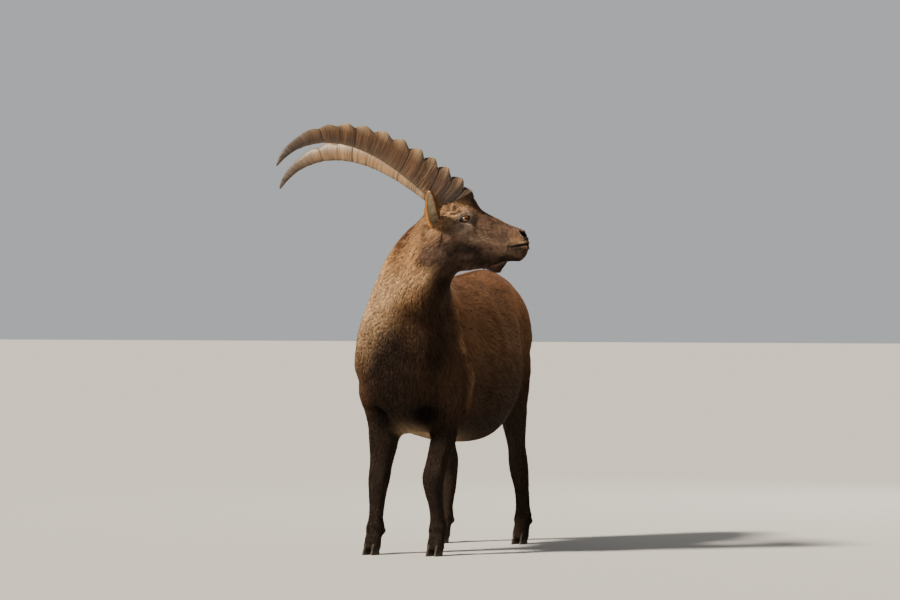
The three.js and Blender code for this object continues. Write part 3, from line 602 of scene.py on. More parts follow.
def tail():
    rows = through(TAIL, 40)
    centres = centres_of(rows)
    sides = np.tile(SIDEWAYS, (len(centres), 1))
    return tube(ovals(centres, sides, np.cross(sides, tangents_of(centres)), rows, 32))


# Skin

VOXEL = 8.0
CHIN_MIDDLE = np.array([0, -131, -123])
JAW_SLOPE = 33


def whole_body():
    """Trunk, neck, head, tail, legs, chin, bulges of the eyes and horn seats as one closed mesh."""
    chin = ball(CHIN_MIDDLE, (12, 29, 16), JAW_SLOPE)
    pieces = [torso(), neck(), skull(), tail(), in_head(chin), *map(leg, LEGS.values())]
    for side in (1, -1):
        pieces.append(in_head(ball(flipped(EYE_CENTRE, side), (EYE_RADIUS + 1.5,) * 3)))
        pieces.append(horn_seat(side))
    shape = object_of("draft", mesh_of("draft", *joined(pieces)))
    remesh = shape.modifiers.new("remesh", "REMESH")
    remesh.mode = "VOXEL"
    remesh.voxel_size = VOXEL
    remesh.adaptivity = 0
    depsgraph = bpy.context.evaluated_depsgraph_get()
    mesh = bpy.data.meshes.new_from_object(shape.evaluated_get(depsgraph))
    bpy.data.objects.remove(shape)
    return mesh


# Smooth noise, the same on every run

# Large odd numbers that scramble a cell's place into a value
MIXERS = np.array([374761393, 668265263, 1442695041, 974634777, 1274126177])


def noise(points, size, seed):
    """Smooth values between -1 and 1, that change over the given size."""
    place = points / size + 31.7 * seed
    cell = np.floor(place).astype(np.int64)
    blend = place - cell
    blend = blend * blend * (3 - 2 * blend)
    total = np.zeros(len(points))
    for corner in range(8):
        offset = np.array([corner & 1, corner >> 1 & 1, corner >> 2])
        mixed = (((cell + offset) * MIXERS[:3]).sum(1) + seed * MIXERS[3]) & 0xFFFFFFFF
        mixed = ((mixed ^ (mixed >> 13)) * MIXERS[4]) & 0xFFFFFFFF
        value = ((mixed ^ (mixed >> 16)) & 0xFFFF) / 32767.5 - 1
        total += value * np.where(offset, blend, 1 - blend).prod(1)
    return total


class Web:
    """The neighbours of each point of a mesh, for averaging over them."""

    def __init__(self, mesh):
        ends = values_of(mesh.edges, "vertices", 2, np.int32)
        self.count = len(mesh.vertices)
        self.a, self.b = ends.T
        self.degree = np.maximum(np.bincount(ends.ravel(), minlength=self.count), 1)

    def mean(self, values):
        if values.ndim == 1:
            total = np.bincount(self.a, values[self.b], self.count)
            total += np.bincount(self.b, values[self.a], self.count)
            return total / self.degree
        return np.stack([self.mean(values[:, i]) for i in range(values.shape[1])], 1)


def normals_at(mesh, points):
    set_coordinates(mesh, points)
    return vertex_normals(mesh)


def without_steps(points, web, rounds=8):
    """Evens out the voxels' steps and keeps the size."""
    for _ in range(rounds):
        points = points + 0.5 * (web.mean(points) - points)
        points = points - 0.52 * (web.mean(points) - points)
    return points


def creases_filled(mesh, points, web, rounds, weight):
    """Fills the creases where limbs meet the trunk, and leaves what stands out."""
    for i in range(rounds):
        if i % 12 == 0:
            normals = normals_at(mesh, points)
        pull = web.mean(points) - points
        out = np.maximum((pull * normals).sum(1), 0)
        points = points + (0.9 * weight * out)[:, None] * normals
    return points


def refined(mesh, chosen):
    """Cuts the faces whose middles are chosen into quarters."""
    middles = values_of(mesh.polygons, "center", 3).astype(float)
    picked = np.flatnonzero(chosen(middles))
    shape = bmesh.new()
    shape.from_mesh(mesh)
    shape.faces.ensure_lookup_table()
    edges = {edge for k in picked for edge in shape.faces[k].edges}
    bmesh.ops.subdivide_edges(shape, edges=list(edges), cuts=1, use_grid_fill=True)
    shape.to_mesh(mesh)
    shape.free()
    return mesh


def sided(points):
    """Points of the head's frame folded on to its left side, and the side of each."""
    side = np.where(points[:, 0] < 0, -1.0, 1.0)
    folded = points.copy()
    folded[:, 0] *= side
    return folded, side


# Openings of the face, in the head's frame
FACE_MIDDLE = np.array([0, -30, -40])
NOSTRIL = np.array([29.0, -196, -7])
MOUTH = np.array(
    [
        (37, -155, -60), (36.5, -170, -57), (35, -186, -51),
        (29, -204, -43), (17, -218, -37), (0, -223, -35),
    ],
    float,
)


def curve_distance(points, curve):
    """Distance of points to a line of straight lengths."""
    best = np.full(len(points), 1e9)
    for a, b in zip(curve[:-1], curve[1:]):
        along = b - a
        t = np.clip((points - a) @ along / (along @ along), 0, 1)
        best = np.minimum(best, np.linalg.norm(points - a - t[:, None] * along, axis=1))
    return best


def distance(points, at):
    return np.linalg.norm(points - at, axis=1)


def near_head(middles):
    return distance(to_head(middles), FACE_MIDDLE) < 200


def near_face(middles):
    folded, _ = sided(to_head(middles))
    muzzle = (folded[:, 1] < -128) & (folded[:, 1] > -260) & (np.abs(folded[:, 0]) < 60)
    return (distance(folded, EYE_CENTRE) < 42) | muzzle


def near_openings(middles):
    folded, _ = sided(to_head(middles))
    at_openings = (distance(folded, EYE_CENTRE) < 30) | (distance(folded, NOSTRIL) < 26)
    return at_openings | (curve_distance(folded, MOUTH) < 7)


# Eyelids. The opening is an almond, tilted up towards the muzzle.
LID_TILT = math.radians(36)
LID_LENGTH = 15.5
LID_HEIGHT = 9.6
ALONG_LID = np.array([0, math.cos(LID_TILT), -math.sin(LID_TILT)])
ACROSS_LID = np.array([0, math.sin(LID_TILT), math.cos(LID_TILT)])


def lid_pinch(a):
    """How the opening narrows towards its corners."""
    return np.maximum(1 - 0.32 * a * a, 0.4)


def almond(folded):
    """1 on the edge of the lids, less inside and more outside, and how far across the opening."""
    away = folded - EYE_CENTRE
    a = away @ ALONG_LID / LID_LENGTH
    b = away @ ACROSS_LID / LID_HEIGHT
    return np.sqrt(a * a + (b / lid_pinch(a)) ** 2), b


# How far from the middle between the eyes the head's markings and its finer details reach
HEAD_REACH = 290
DETAIL_REACH = 300
# How far sideways of the eye's middle its lids and folds reach
BESIDE_EYE = 26


def coat_depth(points):
    """How far the skin lies inside the outline of the coat."""
    folded, _ = sided(to_head(points))
    on_head = 1 - smoothstep(60, 130, folded[:, 1])
    on_head *= (np.linalg.norm(folded, axis=1) < HEAD_REACH) * smoothstep(-240, -185, folded[:, 2])
    face = 2.6 - 1.5 * smoothstep(-110, -180, folded[:, 1])
    body = 7.0 - 4.6 * smoothstep(420, 300, points[:, 2])
    body = body + 2.5 * smoothstep(700, 800, points[:, 2]) * smoothstep(-180, -320, points[:, 1])
    return on_head * face + (1 - on_head) * body


def bell(away, width):
    return np.exp(-((away / width) ** 2))


def both_sides(points):
    """Points of the body folded on to its left side."""
    return np.hstack([np.abs(points[:, :1]), points[:, 1:]])


# Folds of the hide behind the shoulder and along the ribs, as lines down the left side
SHOULDER_FOLD = np.array(
    [
        (96, -300, 892), (152, -306, 840), (157, -296, 774), (172, -294, 709), (182, -271, 659),
        (188, -256, 616), (184, -242, 550), (163, -209, 483), (127, -165, 425),
    ],
    float,
)
RIB_FOLD = np.array(
    [
        (94, 53, 887), (112, 40, 872), (143, 31, 833), (164, 31, 800),
        (187, 34, 739), (200, 51, 672), (203, 79, 604),
    ],
    float,
)
# Which fold, how high it stands, how wide it is and how far ahead of the line
FOLD_WAVES = (
    (SHOULDER_FOLD, 6, 18, 0),
    (SHOULDER_FOLD, -8, 26, 40),
    (RIB_FOLD, 3, 22, 0),
    (RIB_FOLD, -1.6, 30, 42),
)
ARMPIT = np.array([86, -380, 462])
ARMPIT_DEPTH = 26
ARMPIT_RADIUS = 38


def fold_share(points, line, width, ahead=0.0):
    """1 along a fold on either side of the body, or ahead of it, fading over its width."""
    return bell(curve_distance(both_sides(points) + np.array([0, ahead, 0]), line), width)


def hide_folds(points, normals):
    height = sum(high * fold_share(points, line, width, ahead) for line, high, width, ahead in FOLD_WAVES)
    armpit = both_sides(points) - ARMPIT
    height -= ARMPIT_DEPTH * np.exp(-(armpit**2).sum(1) / ARMPIT_RADIUS**2)
    fine = 1.6 * noise(points, 46, 5) + 1.0 * noise(points, 24, 6)
    trunk = smoothstep(380, 480, points[:, 2]) * (np.linalg.norm(to_head(points), axis=1) > DETAIL_REACH)
    return points + ((height + fine) * trunk)[:, None] * normals


def nostril_share(folded):
    """0 in the middle of the nostril and 1 on its edge, and the way from the middle."""
    away = folded - NOSTRIL
    back = away[:, 1]
    level = away[:, 2] - 0.016 * back * back - 0.22 * back + 1
    height = 7.6 - 0.16 * back
    comma = np.sqrt((back / 16.0) ** 2 + (level / np.maximum(height, 2.5)) ** 2)
    return np.where(np.abs(away[:, 0]) < 26, comma, 9.0), away


# Ridges of bone in the head's frame: height, width and line. Cheek, jaw and nose
FACE_RIDGES = (
    (2.4, 8.0, [(52, -28, -32), (60, 4, -38), (66, 40, -46)]),
    (2.6, 11.0, [(40, -50, -118), (56, 10, -148), (62, 48, -130), (66, 70, -90)]),
    (1.3, 7.0, [(24, -60, 28), (20, -120, 18), (18, -168, 8)]),
)


def face_details(points, normals):
    """Sockets, nostrils, mouth, lips and folds of the face, pushed into the skin."""
    folded, side = sided(to_head(points))
    within = np.linalg.norm(folded, axis=1) < DETAIL_REACH
    moved = points.copy()

    def push(amount):
        nonlocal moved
        moved = moved - (within * amount)[:, None] * normals

    # nostril: a comma, wide in front and drawn out backwards and up
    comma, away = nostril_share(folded)
    push(12 * (1 - smoothstep(0.4, 1.05, comma)))
    push(-2.4 * bell(comma - 1.4, 0.32) * (away[:, 2] > -12))
    # mouth and lips
    far = curve_distance(folded, MOUTH)
    below = folded[:, 2] < -50 + 0.25 * (-folded[:, 1] - 180)
    push(6 * bell(far, 2.6))
    push(-2 * bell(far - 6.5, 3.4) * np.where(below, 1.2, 0.9))
    corner = distance(folded, MOUTH[0])
    push(2.2 * bell(corner, 5.5) - 1.6 * bell(corner - 11, 4.5) * (folded[:, 1] > -155))
    # groove under the nose
    front = (folded[:, 1] < -205) * (folded[:, 2] > -40) * (folded[:, 2] < -8)
    push(front * 2.0 * bell(folded[:, 0], 1.8))
    # ridge of bone over the eye, folds round it and the tear hollow in front of it
    edge, b = almond(folded)
    near = np.abs(folded[:, 0] - EYE_CENTRE[0]) < BESIDE_EYE
    push(-2.6 * near * bell(edge - 2.0, 0.45) * smoothstep(-0.1, 0.9, b))
    push(1.5 * near * bell(edge - 1.62, 0.16) * smoothstep(0.0, 0.6, b))
    push(near * bell(edge - 1.75, 0.2) * smoothstep(0.0, -0.6, b))
    tear = (folded - np.array([47, -30, -4])) / np.array([20, 15, 6])
    push(2.6 * bell(np.linalg.norm(tear, axis=1), 1.0))
    for height, width, line in FACE_RIDGES:
        push(-height * bell(curve_distance(folded, np.array(line, float)), width))
    # socket behind the lids
    hollow = near * within * (1 - smoothstep(0.95, 1.25, edge)) * (folded[:, 0] > 30)
    depth = folded[:, 0] - (EYE_CENTRE[0] + 5)
    moved -= (hollow * np.maximum(depth, 0) * side)[:, None] * HEAD_TURN[:, 0]
    return moved


# Rings of a lid: share of the almond, height over the eyeball and share of the way down to the skin
LID_RINGS = (
    (0.93, -1.2, 0), (0.97, 0.3, 0), (1.0, 1.5, 0), (1.06, 2.4, 0), (1.14, 2.5, 0), (1.24, 2.1, 0.05),
    (1.34, 1.7, 0.15), (1.46, 2.2, 0.35), (1.62, 2.3, 0.6), (1.85, 1.8, 0.85), (2.1, 1.0, 1),
)


def eyelid(side, skin_at):
    """The lids of one eye: a ring from inside the edge, over it and out to the skin."""
    cosine, sine = np.cos(round_turn(72)), np.sin(round_turn(72))
    rings = []
    for share, height, down in LID_RINGS:
        a = share * LID_LENGTH * cosine * (1 + 0.04 * (share < 1.1) * np.abs(cosine) ** 7)
        b = share * LID_HEIGHT * sine * lid_pinch(cosine)
        b = b + 1.5 * np.maximum(sine, 0) * (share > 1.2)
        flat = np.hypot(a, b)
        radius = EYE_RADIUS + height
        lifted = np.sqrt(np.maximum(radius**2 - np.minimum(flat, radius * 0.93) ** 2, 0))
        lifted -= 0.75 * np.maximum(flat - radius * 0.93, 0)
        at = EYE_CENTRE + a[:, None] * ALONG_LID + b[:, None] * ACROSS_LID
        at[:, 0] = EYE_CENTRE[0] + lifted
        at[:, 0] += down * (skin_at(at, side) - 0.8 - at[:, 0])
        rings.append(flipped(at, side))
    return in_head(tube(np.array(rings)[::-side], closed=False))


# Where the throat runs into the chest without a crease: places and how far round them
BLENDS = (((95, -410, 850), 115), ((-60, -400, 860), 90), ((60, -300, 880), 90))


def blended(points, web, rounds=90):
    """Evens out the places of BLENDS."""
    weight = np.zeros(len(points))
    for at, reach in BLENDS:
        weight = np.maximum(weight, np.exp(-((points - at) ** 2).sum(1) / reach**2))
    weight = weight * smoothstep(0.1, 0.5, weight) * 0.5
    for _ in range(rounds):
        points = points + weight[:, None] * (web.mean(points) - points)
    return points


def make_skin():
    """One skin over the whole body, inside the coat's outline, with the details of the face."""
    mesh = whole_body()
    web = Web(mesh)
    points = without_steps(coordinates(mesh), web)
    folded, _ = sided(to_head(points))
    behind = folded[:, 1] + 0.3 * folded[:, 0] - 0.2 * folded[:, 2]
    weight = np.maximum(smoothstep(110, 160, behind), 0.05)
    weight[np.linalg.norm(folded, axis=1) > DETAIL_REACH] = 1
    points = creases_filled(mesh, points, web, 140, weight)
    points = without_steps(points, web, 6)
    points = blended(points, web)
    points = hide_folds(points, normals_at(mesh, points))
    normals = normals_at(mesh, points)
    depth = coat_depth(points)
    for _ in range(6):
        depth = web.mean(depth)
    points = points - depth[:, None] * normals
    set_coordinates(mesh, without_steps(points, web, 3))
    for near in (near_head, near_face, near_openings):
        refined(mesh, near)
        points = coordinates(mesh)
        even = without_steps(points, Web(mesh), 5)
        chosen = near(points)
        points[chosen] = even[chosen]
        set_coordinates(mesh, points)
    points = coordinates(mesh)
    set_coordinates(mesh, face_details(points, normals_at(mesh, points)))
    return mesh


skin_mesh = make_skin()


def corners_of(mesh):
    return [tuple(polygon.vertices) for polygon in mesh.polygons]


def surface_finder(mesh):
    """Finds the skin's sideways reach in the head's frame, at points beside the eye."""
    tree = BVHTree.FromPolygons([tuple(p) for p in coordinates(mesh).tolist()], corners_of(mesh))

    def reach(at, side):
        inward = Vector(-side * HEAD_TURN[:, 0])
        found = []
        for x, y, z in at:
            hit = tree.ray_cast(Vector(from_head([side * 110, y, z])), inward, 200)[0]
            found.append(abs(to_head(np.array(hit))[0]) if hit else x)
        return np.array(found)

    return reach


reach = surface_finder(skin_mesh)
body = (coordinates(skin_mesh), corners_of(skin_mesh))
skin_parts = [body, eyelid(1, reach), eyelid(-1, reach), ear(1), ear(-1)]
BODY, LID, EAR_LEFT, EAR_RIGHT = 0, 1, 2, 3
kinds = np.repeat([BODY, LID, LID, EAR_LEFT, EAR_RIGHT], [len(points) for points, _ in skin_parts])
skin_mesh = mesh_of("skin", *joined(skin_parts))
triangulated = bmesh.new()
triangulated.from_mesh(skin_mesh)
bmesh.ops.triangulate(triangulated, faces=triangulated.faces[:])
triangulated.to_mesh(skin_mesh)
triangulated.free()
skin = object_of("skin", skin_mesh)


def unwrapped(piece, name):
    piece.data.uv_layers.new(name=name)
    bpy.context.view_layer.objects.active = piece
    piece.select_set(True)
    bpy.ops.object.mode_set(mode="EDIT")
    bpy.ops.mesh.select_all(action="SELECT")
    bpy.ops.uv.smart_project(angle_limit=math.radians(66), island_margin=0.002)
    bpy.ops.object.mode_set(mode="OBJECT")
    piece.select_set(False)


unwrapped(skin, "OFBake")


# The lie of the coat: places, directions of the hair there and how far they reach

TRUNK_LIE = (
    (0, -150, 930, 0, 1, -0.05, 120),
    (0, 50, 930, 0, 1, 0, 120),
    (0, 250, 940, 0, 1, 0, 120),
    (0, 420, 910, 0, 1, -0.3, 100),
    (0, 500, 850, 0, 0.6, -0.8, 70),
    (120, -300, 860, 0.1, 0.75, -0.6, 100),
    (150, -330, 700, 0.1, 0.4, -0.9, 100),
    (120, -440, 640, 0.1, 0, -1, 90),
    (0, -500, 660, 0, 0, -1, 80),
    (60, -440, 520, 0, 0.3, -1, 80),
    (0, -300, 420, 0, 0.9, -0.3, 80),
    (190, -100, 700, 0, 0.85, -0.5, 110),
    (200, 80, 700, 0, 0.9, -0.42, 110),
    (190, 250, 700, 0, 0.75, -0.6, 100),
    (190, 0, 520, 0, 0.9, -0.35, 110),
    (190, 200, 500, 0, 0.85, -0.45, 100),
    (80, 0, 370, 0, 1, 0, 90),
    (80, 200, 390, 0, 1, 0.1, 90),
    (150, 360, 800, 0, 0.6, -0.75, 90),
    (150, 380, 640, 0, 0.35, -0.95, 90),
    (100, 480, 640, 0, 0.2, -1, 90),
    (110, 300, 600, 0, 0.3, -0.95, 80),
    (20, 540, 800, 0, 0.5, -1, 40),
)
HEAD_LIE = (
    (0, -215, -20, 0, 0.6, 0.8, 25),
    (0, -224, -28, 0, 0.4, -1, 13),
    (14, -214, -56, 0.1, 0.9, -0.5, 16),
    (0, -160, 14, 0, 1, 0.1, 40),
    (0, -80, 35, 0, 1, 0.15, 40),
    (0, -20, 75, 0, 0.9, 0.45, 35),
    (30, -180, -40, 0.1, 1, 0.1, 35),
    (35, -100, -60, 0.1, 1, -0.1, 40),
    (55, -40, -60, 0.1, 1, -0.3, 40),
    (60, -30, 20, 0.2, 0.9, 0.4, 30),
    (62, 30, -10, 0.1, 1, 0, 30),
    (62, 40, -60, 0, 1, -0.35, 45),
    (60, 30, -130, 0, 0.9, -0.5, 45),
    (0, -60, -150, 0, 1, -0.2, 45),
    (0, 20, -175, 0, 1, -0.3, 50),
    (0, -180, -95, 0, 0.9, -0.3, 30),
    (70, 100, -60, 0, 0.8, -0.6, 50),
    (0, 90, 60, 0, 1, -0.1, 50),
    (0, 140, 0, 0, 0.7, -0.7, 60),
)


def on_both_sides(rows):
    rows = np.array(rows, float)
    other = rows[rows[:, 0] > 0] * np.array([-1, 1, 1, -1, 1, 1, 1])
    return np.vstack([rows, other])


def lie_along(rows, reach, start=0):
    """The lie down a line of centres."""
    centres = centres_of(rows)[start:]
    way = unit(np.diff(centres, axis=0))
    return np.column_stack([(centres[:-1] + centres[1:]) / 2, way, np.full(len(way), reach)])


def all_lies():
    head = on_both_sides(HEAD_LIE)
    head[:, :3] = from_head(head[:, :3])
    head[:, 3:6] = unit(head[:, 3:6]) @ HEAD_TURN.T
    trunk = on_both_sides(TRUNK_LIE)
    trunk[:, 3:6] = unit(trunk[:, 3:6])
    down_neck = {name: values[::-1] for name, values in NECK.items()}
    lies = [head, trunk, lie_along(down_neck, 120)]
    lies += [lie_along(rows, 55, 3) for rows in LEGS.values()]
    return np.vstack(lies)


LIES = all_lies()


def noise_ways(points, size, seeds):
    return np.stack([noise(points, size, seed) for seed in seeds], 1)


def along_skin(ways, normals):
    return unit(ways - (ways * normals).sum(1, keepdims=True) * normals)


def lie_of(points, normals):
    """The way the hair lies at points of the skin, along the surface."""
    way = np.zeros_like(points)
    for start in range(0, len(points), 40000):
        part = slice(start, start + 40000)
        far = points[part, None] - LIES[None, :, :3]
        near = np.exp(-(far**2).sum(2) / LIES[:, 6] ** 2) / LIES[:, 6]
        way[part] = near @ LIES[:, 3:6] + 1e-12 * np.array([0, 0.3, -1])
    return along_skin(unit(way) + noise_ways(points, 55, (1, 2, 3)) * 0.22, normals)


# Markings: the colour of the coat by place

# Patches of the head: middle, reach, colour and strength
FACE_MARKINGS = (
    ((0, -30, 80), (40, 60, 44), (0.17, 0.075, 0.04), 1),
    ((0, 6, 112), (34, 40, 30), (0.34, 0.14, 0.07), 1),
    ((40, 0, 58), (34, 40, 30), (0.05, 0.027, 0.018), 1),
    ((0, -120, 24), (30, 75, 24), (0.075, 0.038, 0.027), 1),
    ((56, 28, 36), (30, 38, 26), (0.37, 0.22, 0.12), 1),
    ((62, 56, 0), (28, 34, 34), (0.37, 0.22, 0.115), 1),
    ((56, -6, -40), (30, 46, 22), (0.3, 0.215, 0.155), 1),
    ((56, -40, -62), (30, 30, 14), (0.22, 0.155, 0.11), 1),
    ((60, 44, -120), (46, 76, 44), (0.11, 0.07, 0.052), 1),
    ((30, 10, -182), (64, 90, 44), (0.045, 0.027, 0.019), 1),
    ((54, -30, -97), (32, 52, 19), (0.033, 0.0225, 0.018), 1.3),
    ((40, -90, -116), (44, 66, 34), (0.032, 0.021, 0.017), 1),
    ((50, -60, -46), (30, 40, 22), (0.18, 0.12, 0.082), 1),
    ((36, -140, -40), (26, 36, 26), (0.1, 0.065, 0.046), 1),
    ((34, -176, -32), (24, 22, 15), (0.16, 0.08, 0.042), 1),
    ((36, -192, -38), (34, 34, 6), (0.3, 0.21, 0.12), 0.9),
    ((36, -190, -64), (34, 30, 13), (0.034, 0.025, 0.019), 0.9),
    ((0, -170, -98), (50, 60, 24), (0.017, 0.0115, 0.0095), 0.97),
    ((0, -128, -132), (26, 30, 18), (0.042, 0.021, 0.014), 1),
    ((55, 0, -5), (22, 28, 20), (0.32, 0.27, 0.215), 0.95),
    ((66, 92, -50), (26, 26, 50), (0.42, 0.25, 0.13), 1),
)
RUSSET = (0.135, 0.067, 0.032)


class Paint:
    """Colours of points, laid on one tint after another."""

    def __init__(self, shade, count):
        self.colour = np.tile(np.array(shade), (count, 1))

    def tint(self, amount, shade):
        amount = np.clip(amount, 0, 1).reshape(-1, 1)
        self.colour = self.colour * (1 - amount) + np.array(shade) * amount


def patch(points, at, size):
    """1 at a place, fading over the size of the patch."""
    return np.exp(-(((points - np.array(at)) / size) ** 2).sum(1))


def shade_of(points, normals, kind):
    """The coat's colour at places of the body's frame."""
    paint = Paint(RUSSET, len(points))
    folded, _ = sided(to_head(points))
    paint_body(paint.tint, points, normals, folded)
    on_head = smoothstep(150, 95, folded[:, 1]) * smoothstep(-215, -160, folded[:, 2])
    on_head = on_head * (np.linalg.norm(folded, axis=1) < HEAD_REACH)
    paint.tint(on_head, (0.14, 0.083, 0.056))
    for at, size, shade, amount in FACE_MARKINGS:
        paint.tint(on_head * amount * patch(folded, at, size), shade)
    paint_ears(paint.tint, points, normals, kind)
    paint_openings(paint.tint, folded, on_head)
    mottled = 0.28 * noise(points, 9, 15) + 0.26 * noise(points, 19, 16) + 0.34 * noise(points, 4.5, 17)
    patches = 1 + 0.13 * noise(points, 70, 11) + 0.1 * noise(points, 22, 12)
    return paint.colour * (1 + on_head * mottled)[:, None] * patches[:, None]


def paint_body(tint, points, normals, folded):
    """Back, flanks, chest, legs, tail and neck. Some marks differ between the two sides, where they are
    painted sunlight, shade and highlights.
    """
    body = both_sides(points)
    x, y, z = body.T

    def near(at, size):
        return patch(body, at, size)

    # russet back paler on top and the body darker lower down: partly the coat's own colours, partly
    # painted sunlight from above and painted shade below
    tint(smoothstep(740, 930, z), (0.34, 0.155, 0.065))
    tint(smoothstep(760, 520, z) * 0.9, (0.036, 0.021, 0.013))
    tint(near((120, -380, 680), (80, 110, 120)), (0.15, 0.08, 0.045))
    # dark chest: the coat's own dark brown, painted darker still as shade
    tint(near((0, -510, 600), (110, 120, 200)) * 1.5, (0.03, 0.0185, 0.0135))
    tint(near((60, -420, 450), (120, 80, 90)) * 1.2, (0.026, 0.016, 0.011))
    # legs, belly and rump
    belly = near((0, 20, 350), (110, 260, 90))
    tint(smoothstep(520, 400, z) * (1 - belly), (0.03, 0.0205, 0.0155))
    tint(smoothstep(560, 430, z) * smoothstep(150, 300, y), (0.042, 0.029, 0.021))
    below = smoothstep(-0.35, -0.75, normals[:, 2])
    tint(below * near((0, -180, 400), (62, 210, 45)) * 1.4, (0.36, 0.245, 0.14))
    tint(near((0, 534, 790), (34, 40, 52)) * 0.9, (0.33, 0.24, 0.16))
    on_tail = smoothstep(750, 775, z) * smoothstep(514, 534, y) * smoothstep(40, 26, x)
    tint(on_tail, (0.05, 0.028, 0.018))
    stripe = smoothstep(20, 4, x) * smoothstep(790, 830, z) * smoothstep(-250, -60, y)
    tint(stripe * 0.6, (0.09, 0.045, 0.026))
    # the pale neck, reaching lower down on the right side as painted sunlight, and the dark throat
    on_neck = np.exp(-(curve_distance(points, centres_of(NECK)[2:]) / 190) ** 3)
    lower_edge = 600 + 210 * smoothstep(-110, 90, points[:, 0]) + 34 * noise(points, 60, 19)
    on_neck = on_neck ** 0.4 * smoothstep(lower_edge - 40, lower_edge + 150, z)
    on_neck = on_neck * smoothstep(-150, -350, y + 30 * noise(points, 70, 23))
    tint(on_neck, (0.6, 0.395, 0.225))
    tint(on_neck * smoothstep(880, 980, z), (0.62, 0.36, 0.17))
    throat = smoothstep(-0.25, 0.5, (normals * from_head_way((0.3, -0.62, -0.65))).sum(1))
    tint(smoothstep(640, 780, z) * smoothstep(-230, -360, y) * throat, (0.05, 0.029, 0.018))
    # the sides differ here: painted sunlight on the right shoulder and painted shade on the front of the
    # left one
    left = 0.4 + 0.6 * smoothstep(-60, 60, points[:, 0])
    tint(near((150, -400, 590), (56, 80, 90)) * (1 - left), (0.17, 0.085, 0.052))
    tint(near((120, -400, 680), (60, 90, 130)) * 1.3 * (2 * left - 1), (0.03, 0.018, 0.012))
    # folds: painted shade ahead of the shoulder fold and painted highlights along the crests of both
    # folds, both stronger on the left side
    shaded = fold_share(points, SHOULDER_FOLD, 42, 50) * smoothstep(840, 740, z)
    tint(0.7 * shaded * left, (0.045, 0.026, 0.017))
    rib = 0.6 * fold_share(points, RIB_FOLD, 20) * smoothstep(640, 760, z)
    pale = fold_share(points, SHOULDER_FOLD, 12) + rib
    pale *= smoothstep(430, 560, z) * (0.42 + 0.45 * noise(points, 34, 18)) * left
    tint(pale, (0.3, 0.165, 0.085))
    # nape, painted shade in the armpit and the painted shadow of the head under the jaw
    nape = patch(folded, (0, 170, -86), (60, 48, 96)) * (1 + 0.35 * noise(points, 14, 20))
    tint(1.1 * nape, (0.19, 0.088, 0.046))
    tint(near((86, -380, 464), (42, 50, 46)) * 1.8, (0.006, 0.004, 0.003))
    tint(patch(points, (212, -442, 932), 70) * 1.2, (0.018, 0.012, 0.009))


def paint_ears(tint, points, normals, kind):
    """Orange backs, a pale cup with a dark rim, spots and a dark root."""
    ear_back = (kind >= EAR_LEFT).astype(float)
    tint(ear_back, (0.46, 0.215, 0.075))
    is_left = (kind == EAR_LEFT)[:, None]
    cupped = np.where(is_left, to_ear(points, 1), to_ear(points, -1))
    facing = (normals * np.where(is_left, ear_way(1), ear_way(-1))).sum(1)
    in_cup = ear_back * smoothstep(0.0, 0.35, facing) * (cupped[:, 1] > -EAR_CUP_FLOOR)
    across = cupped[:, 0] / np.interp(cupped[:, 2] / EAR_LENGTH, EAR["along"], EAR["half"])
    tint(in_cup * smoothstep(-0.6, -0.85, across), (0.16, 0.08, 0.04))
    in_cup = in_cup * smoothstep(0.68, 0.4, across) * smoothstep(-0.8, -0.6, across)
    tint(in_cup, (0.7, 0.56, 0.38))
    tint(in_cup * smoothstep(0.5, 1.3, noise(points, 3.2, 22)) * 0.8, (0.08, 0.05, 0.035))
    tint(in_cup * smoothstep(90, 20, cupped[:, 2]) * 0.7, (0.12, 0.09, 0.06))


def paint_openings(tint, folded, on_head):
    """Bare dark skin round the eyes, in the nostrils, on the nose and along the mouth."""
    beside_eye = (np.abs(folded[:, 0] - EYE_CENTRE[0]) < 30) * on_head
    tint(beside_eye * smoothstep(1.5, 1.2, almond(folded)[0]), (0.012, 0.009, 0.008))
    tint(on_head * smoothstep(1.25, 1.0, nostril_share(folded)[0]), (0.008, 0.007, 0.007))
    pad = smoothstep(-200, -210, folded[:, 1]) * smoothstep(-33, -27, folded[:, 2])
    tint(on_head * pad, (0.028, 0.025, 0.022))
    tint(on_head * smoothstep(6.5, 3.5, curve_distance(folded, MOUTH)), (0.014, 0.01, 0.009))


# Tufts

class Tufts:
    """Roots on the skin, with what each tuft there needs."""

    def __init__(self, spacing, seed):
        random = np.random.default_rng(seed)
        corners = values_of(skin_mesh.loops, "vertex_index", 1, np.int32).reshape(-1, 3)
        points = coordinates(skin_mesh)
        normals = vertex_normals(skin_mesh)
        uv = values_of(skin_mesh.uv_layers["OFBake"].data, "uv", 2).reshape(-1, 3, 2)
        middles = points[corners].mean(1)
        a, b, c = (points[corners[:, i]] for i in range(3))
        area = np.linalg.norm(np.cross(b - a, c - a), axis=1) / 2
        kind = kinds[corners[:, 0]]
        gap = spacing(middles, kind)
        share = np.cumsum(np.where(gap > 0, area / np.maximum(gap, 0.1) ** 2, 0))
        count = int(share[-1])
        face = np.searchsorted(share, np.arange(count) + random.random(count))
        face = np.minimum(face, len(corners) - 1)
        mix = random.random((count, 2))
        over = mix.sum(1) > 1
        mix[over] = 1 - mix[over]
        weights = np.column_stack([1 - mix.sum(1), mix])
        self.root = (points[corners[face]] * weights[..., None]).sum(1)
        self.normal = unit((normals[corners[face]] * weights[..., None]).sum(1))
        self.uv = (uv[face] * weights[..., None]).sum(1)
        self.kind = kind[face]
        self.random = random
        self.count = count


TUFT_FACES = np.array([(0, 1, 3), (0, 3, 2), (0, 2, 1), (4, 3, 1), (4, 2, 3), (4, 1, 2)])
UV_AROUND = np.array([(0, -0.0015), (-0.0012, 0), (0.0012, 0), (0, 0.0005), (0, 0.0015)])
SHADE_ALONG = np.array([0.5, 0.84, 0.84, 0.97, 1.2])


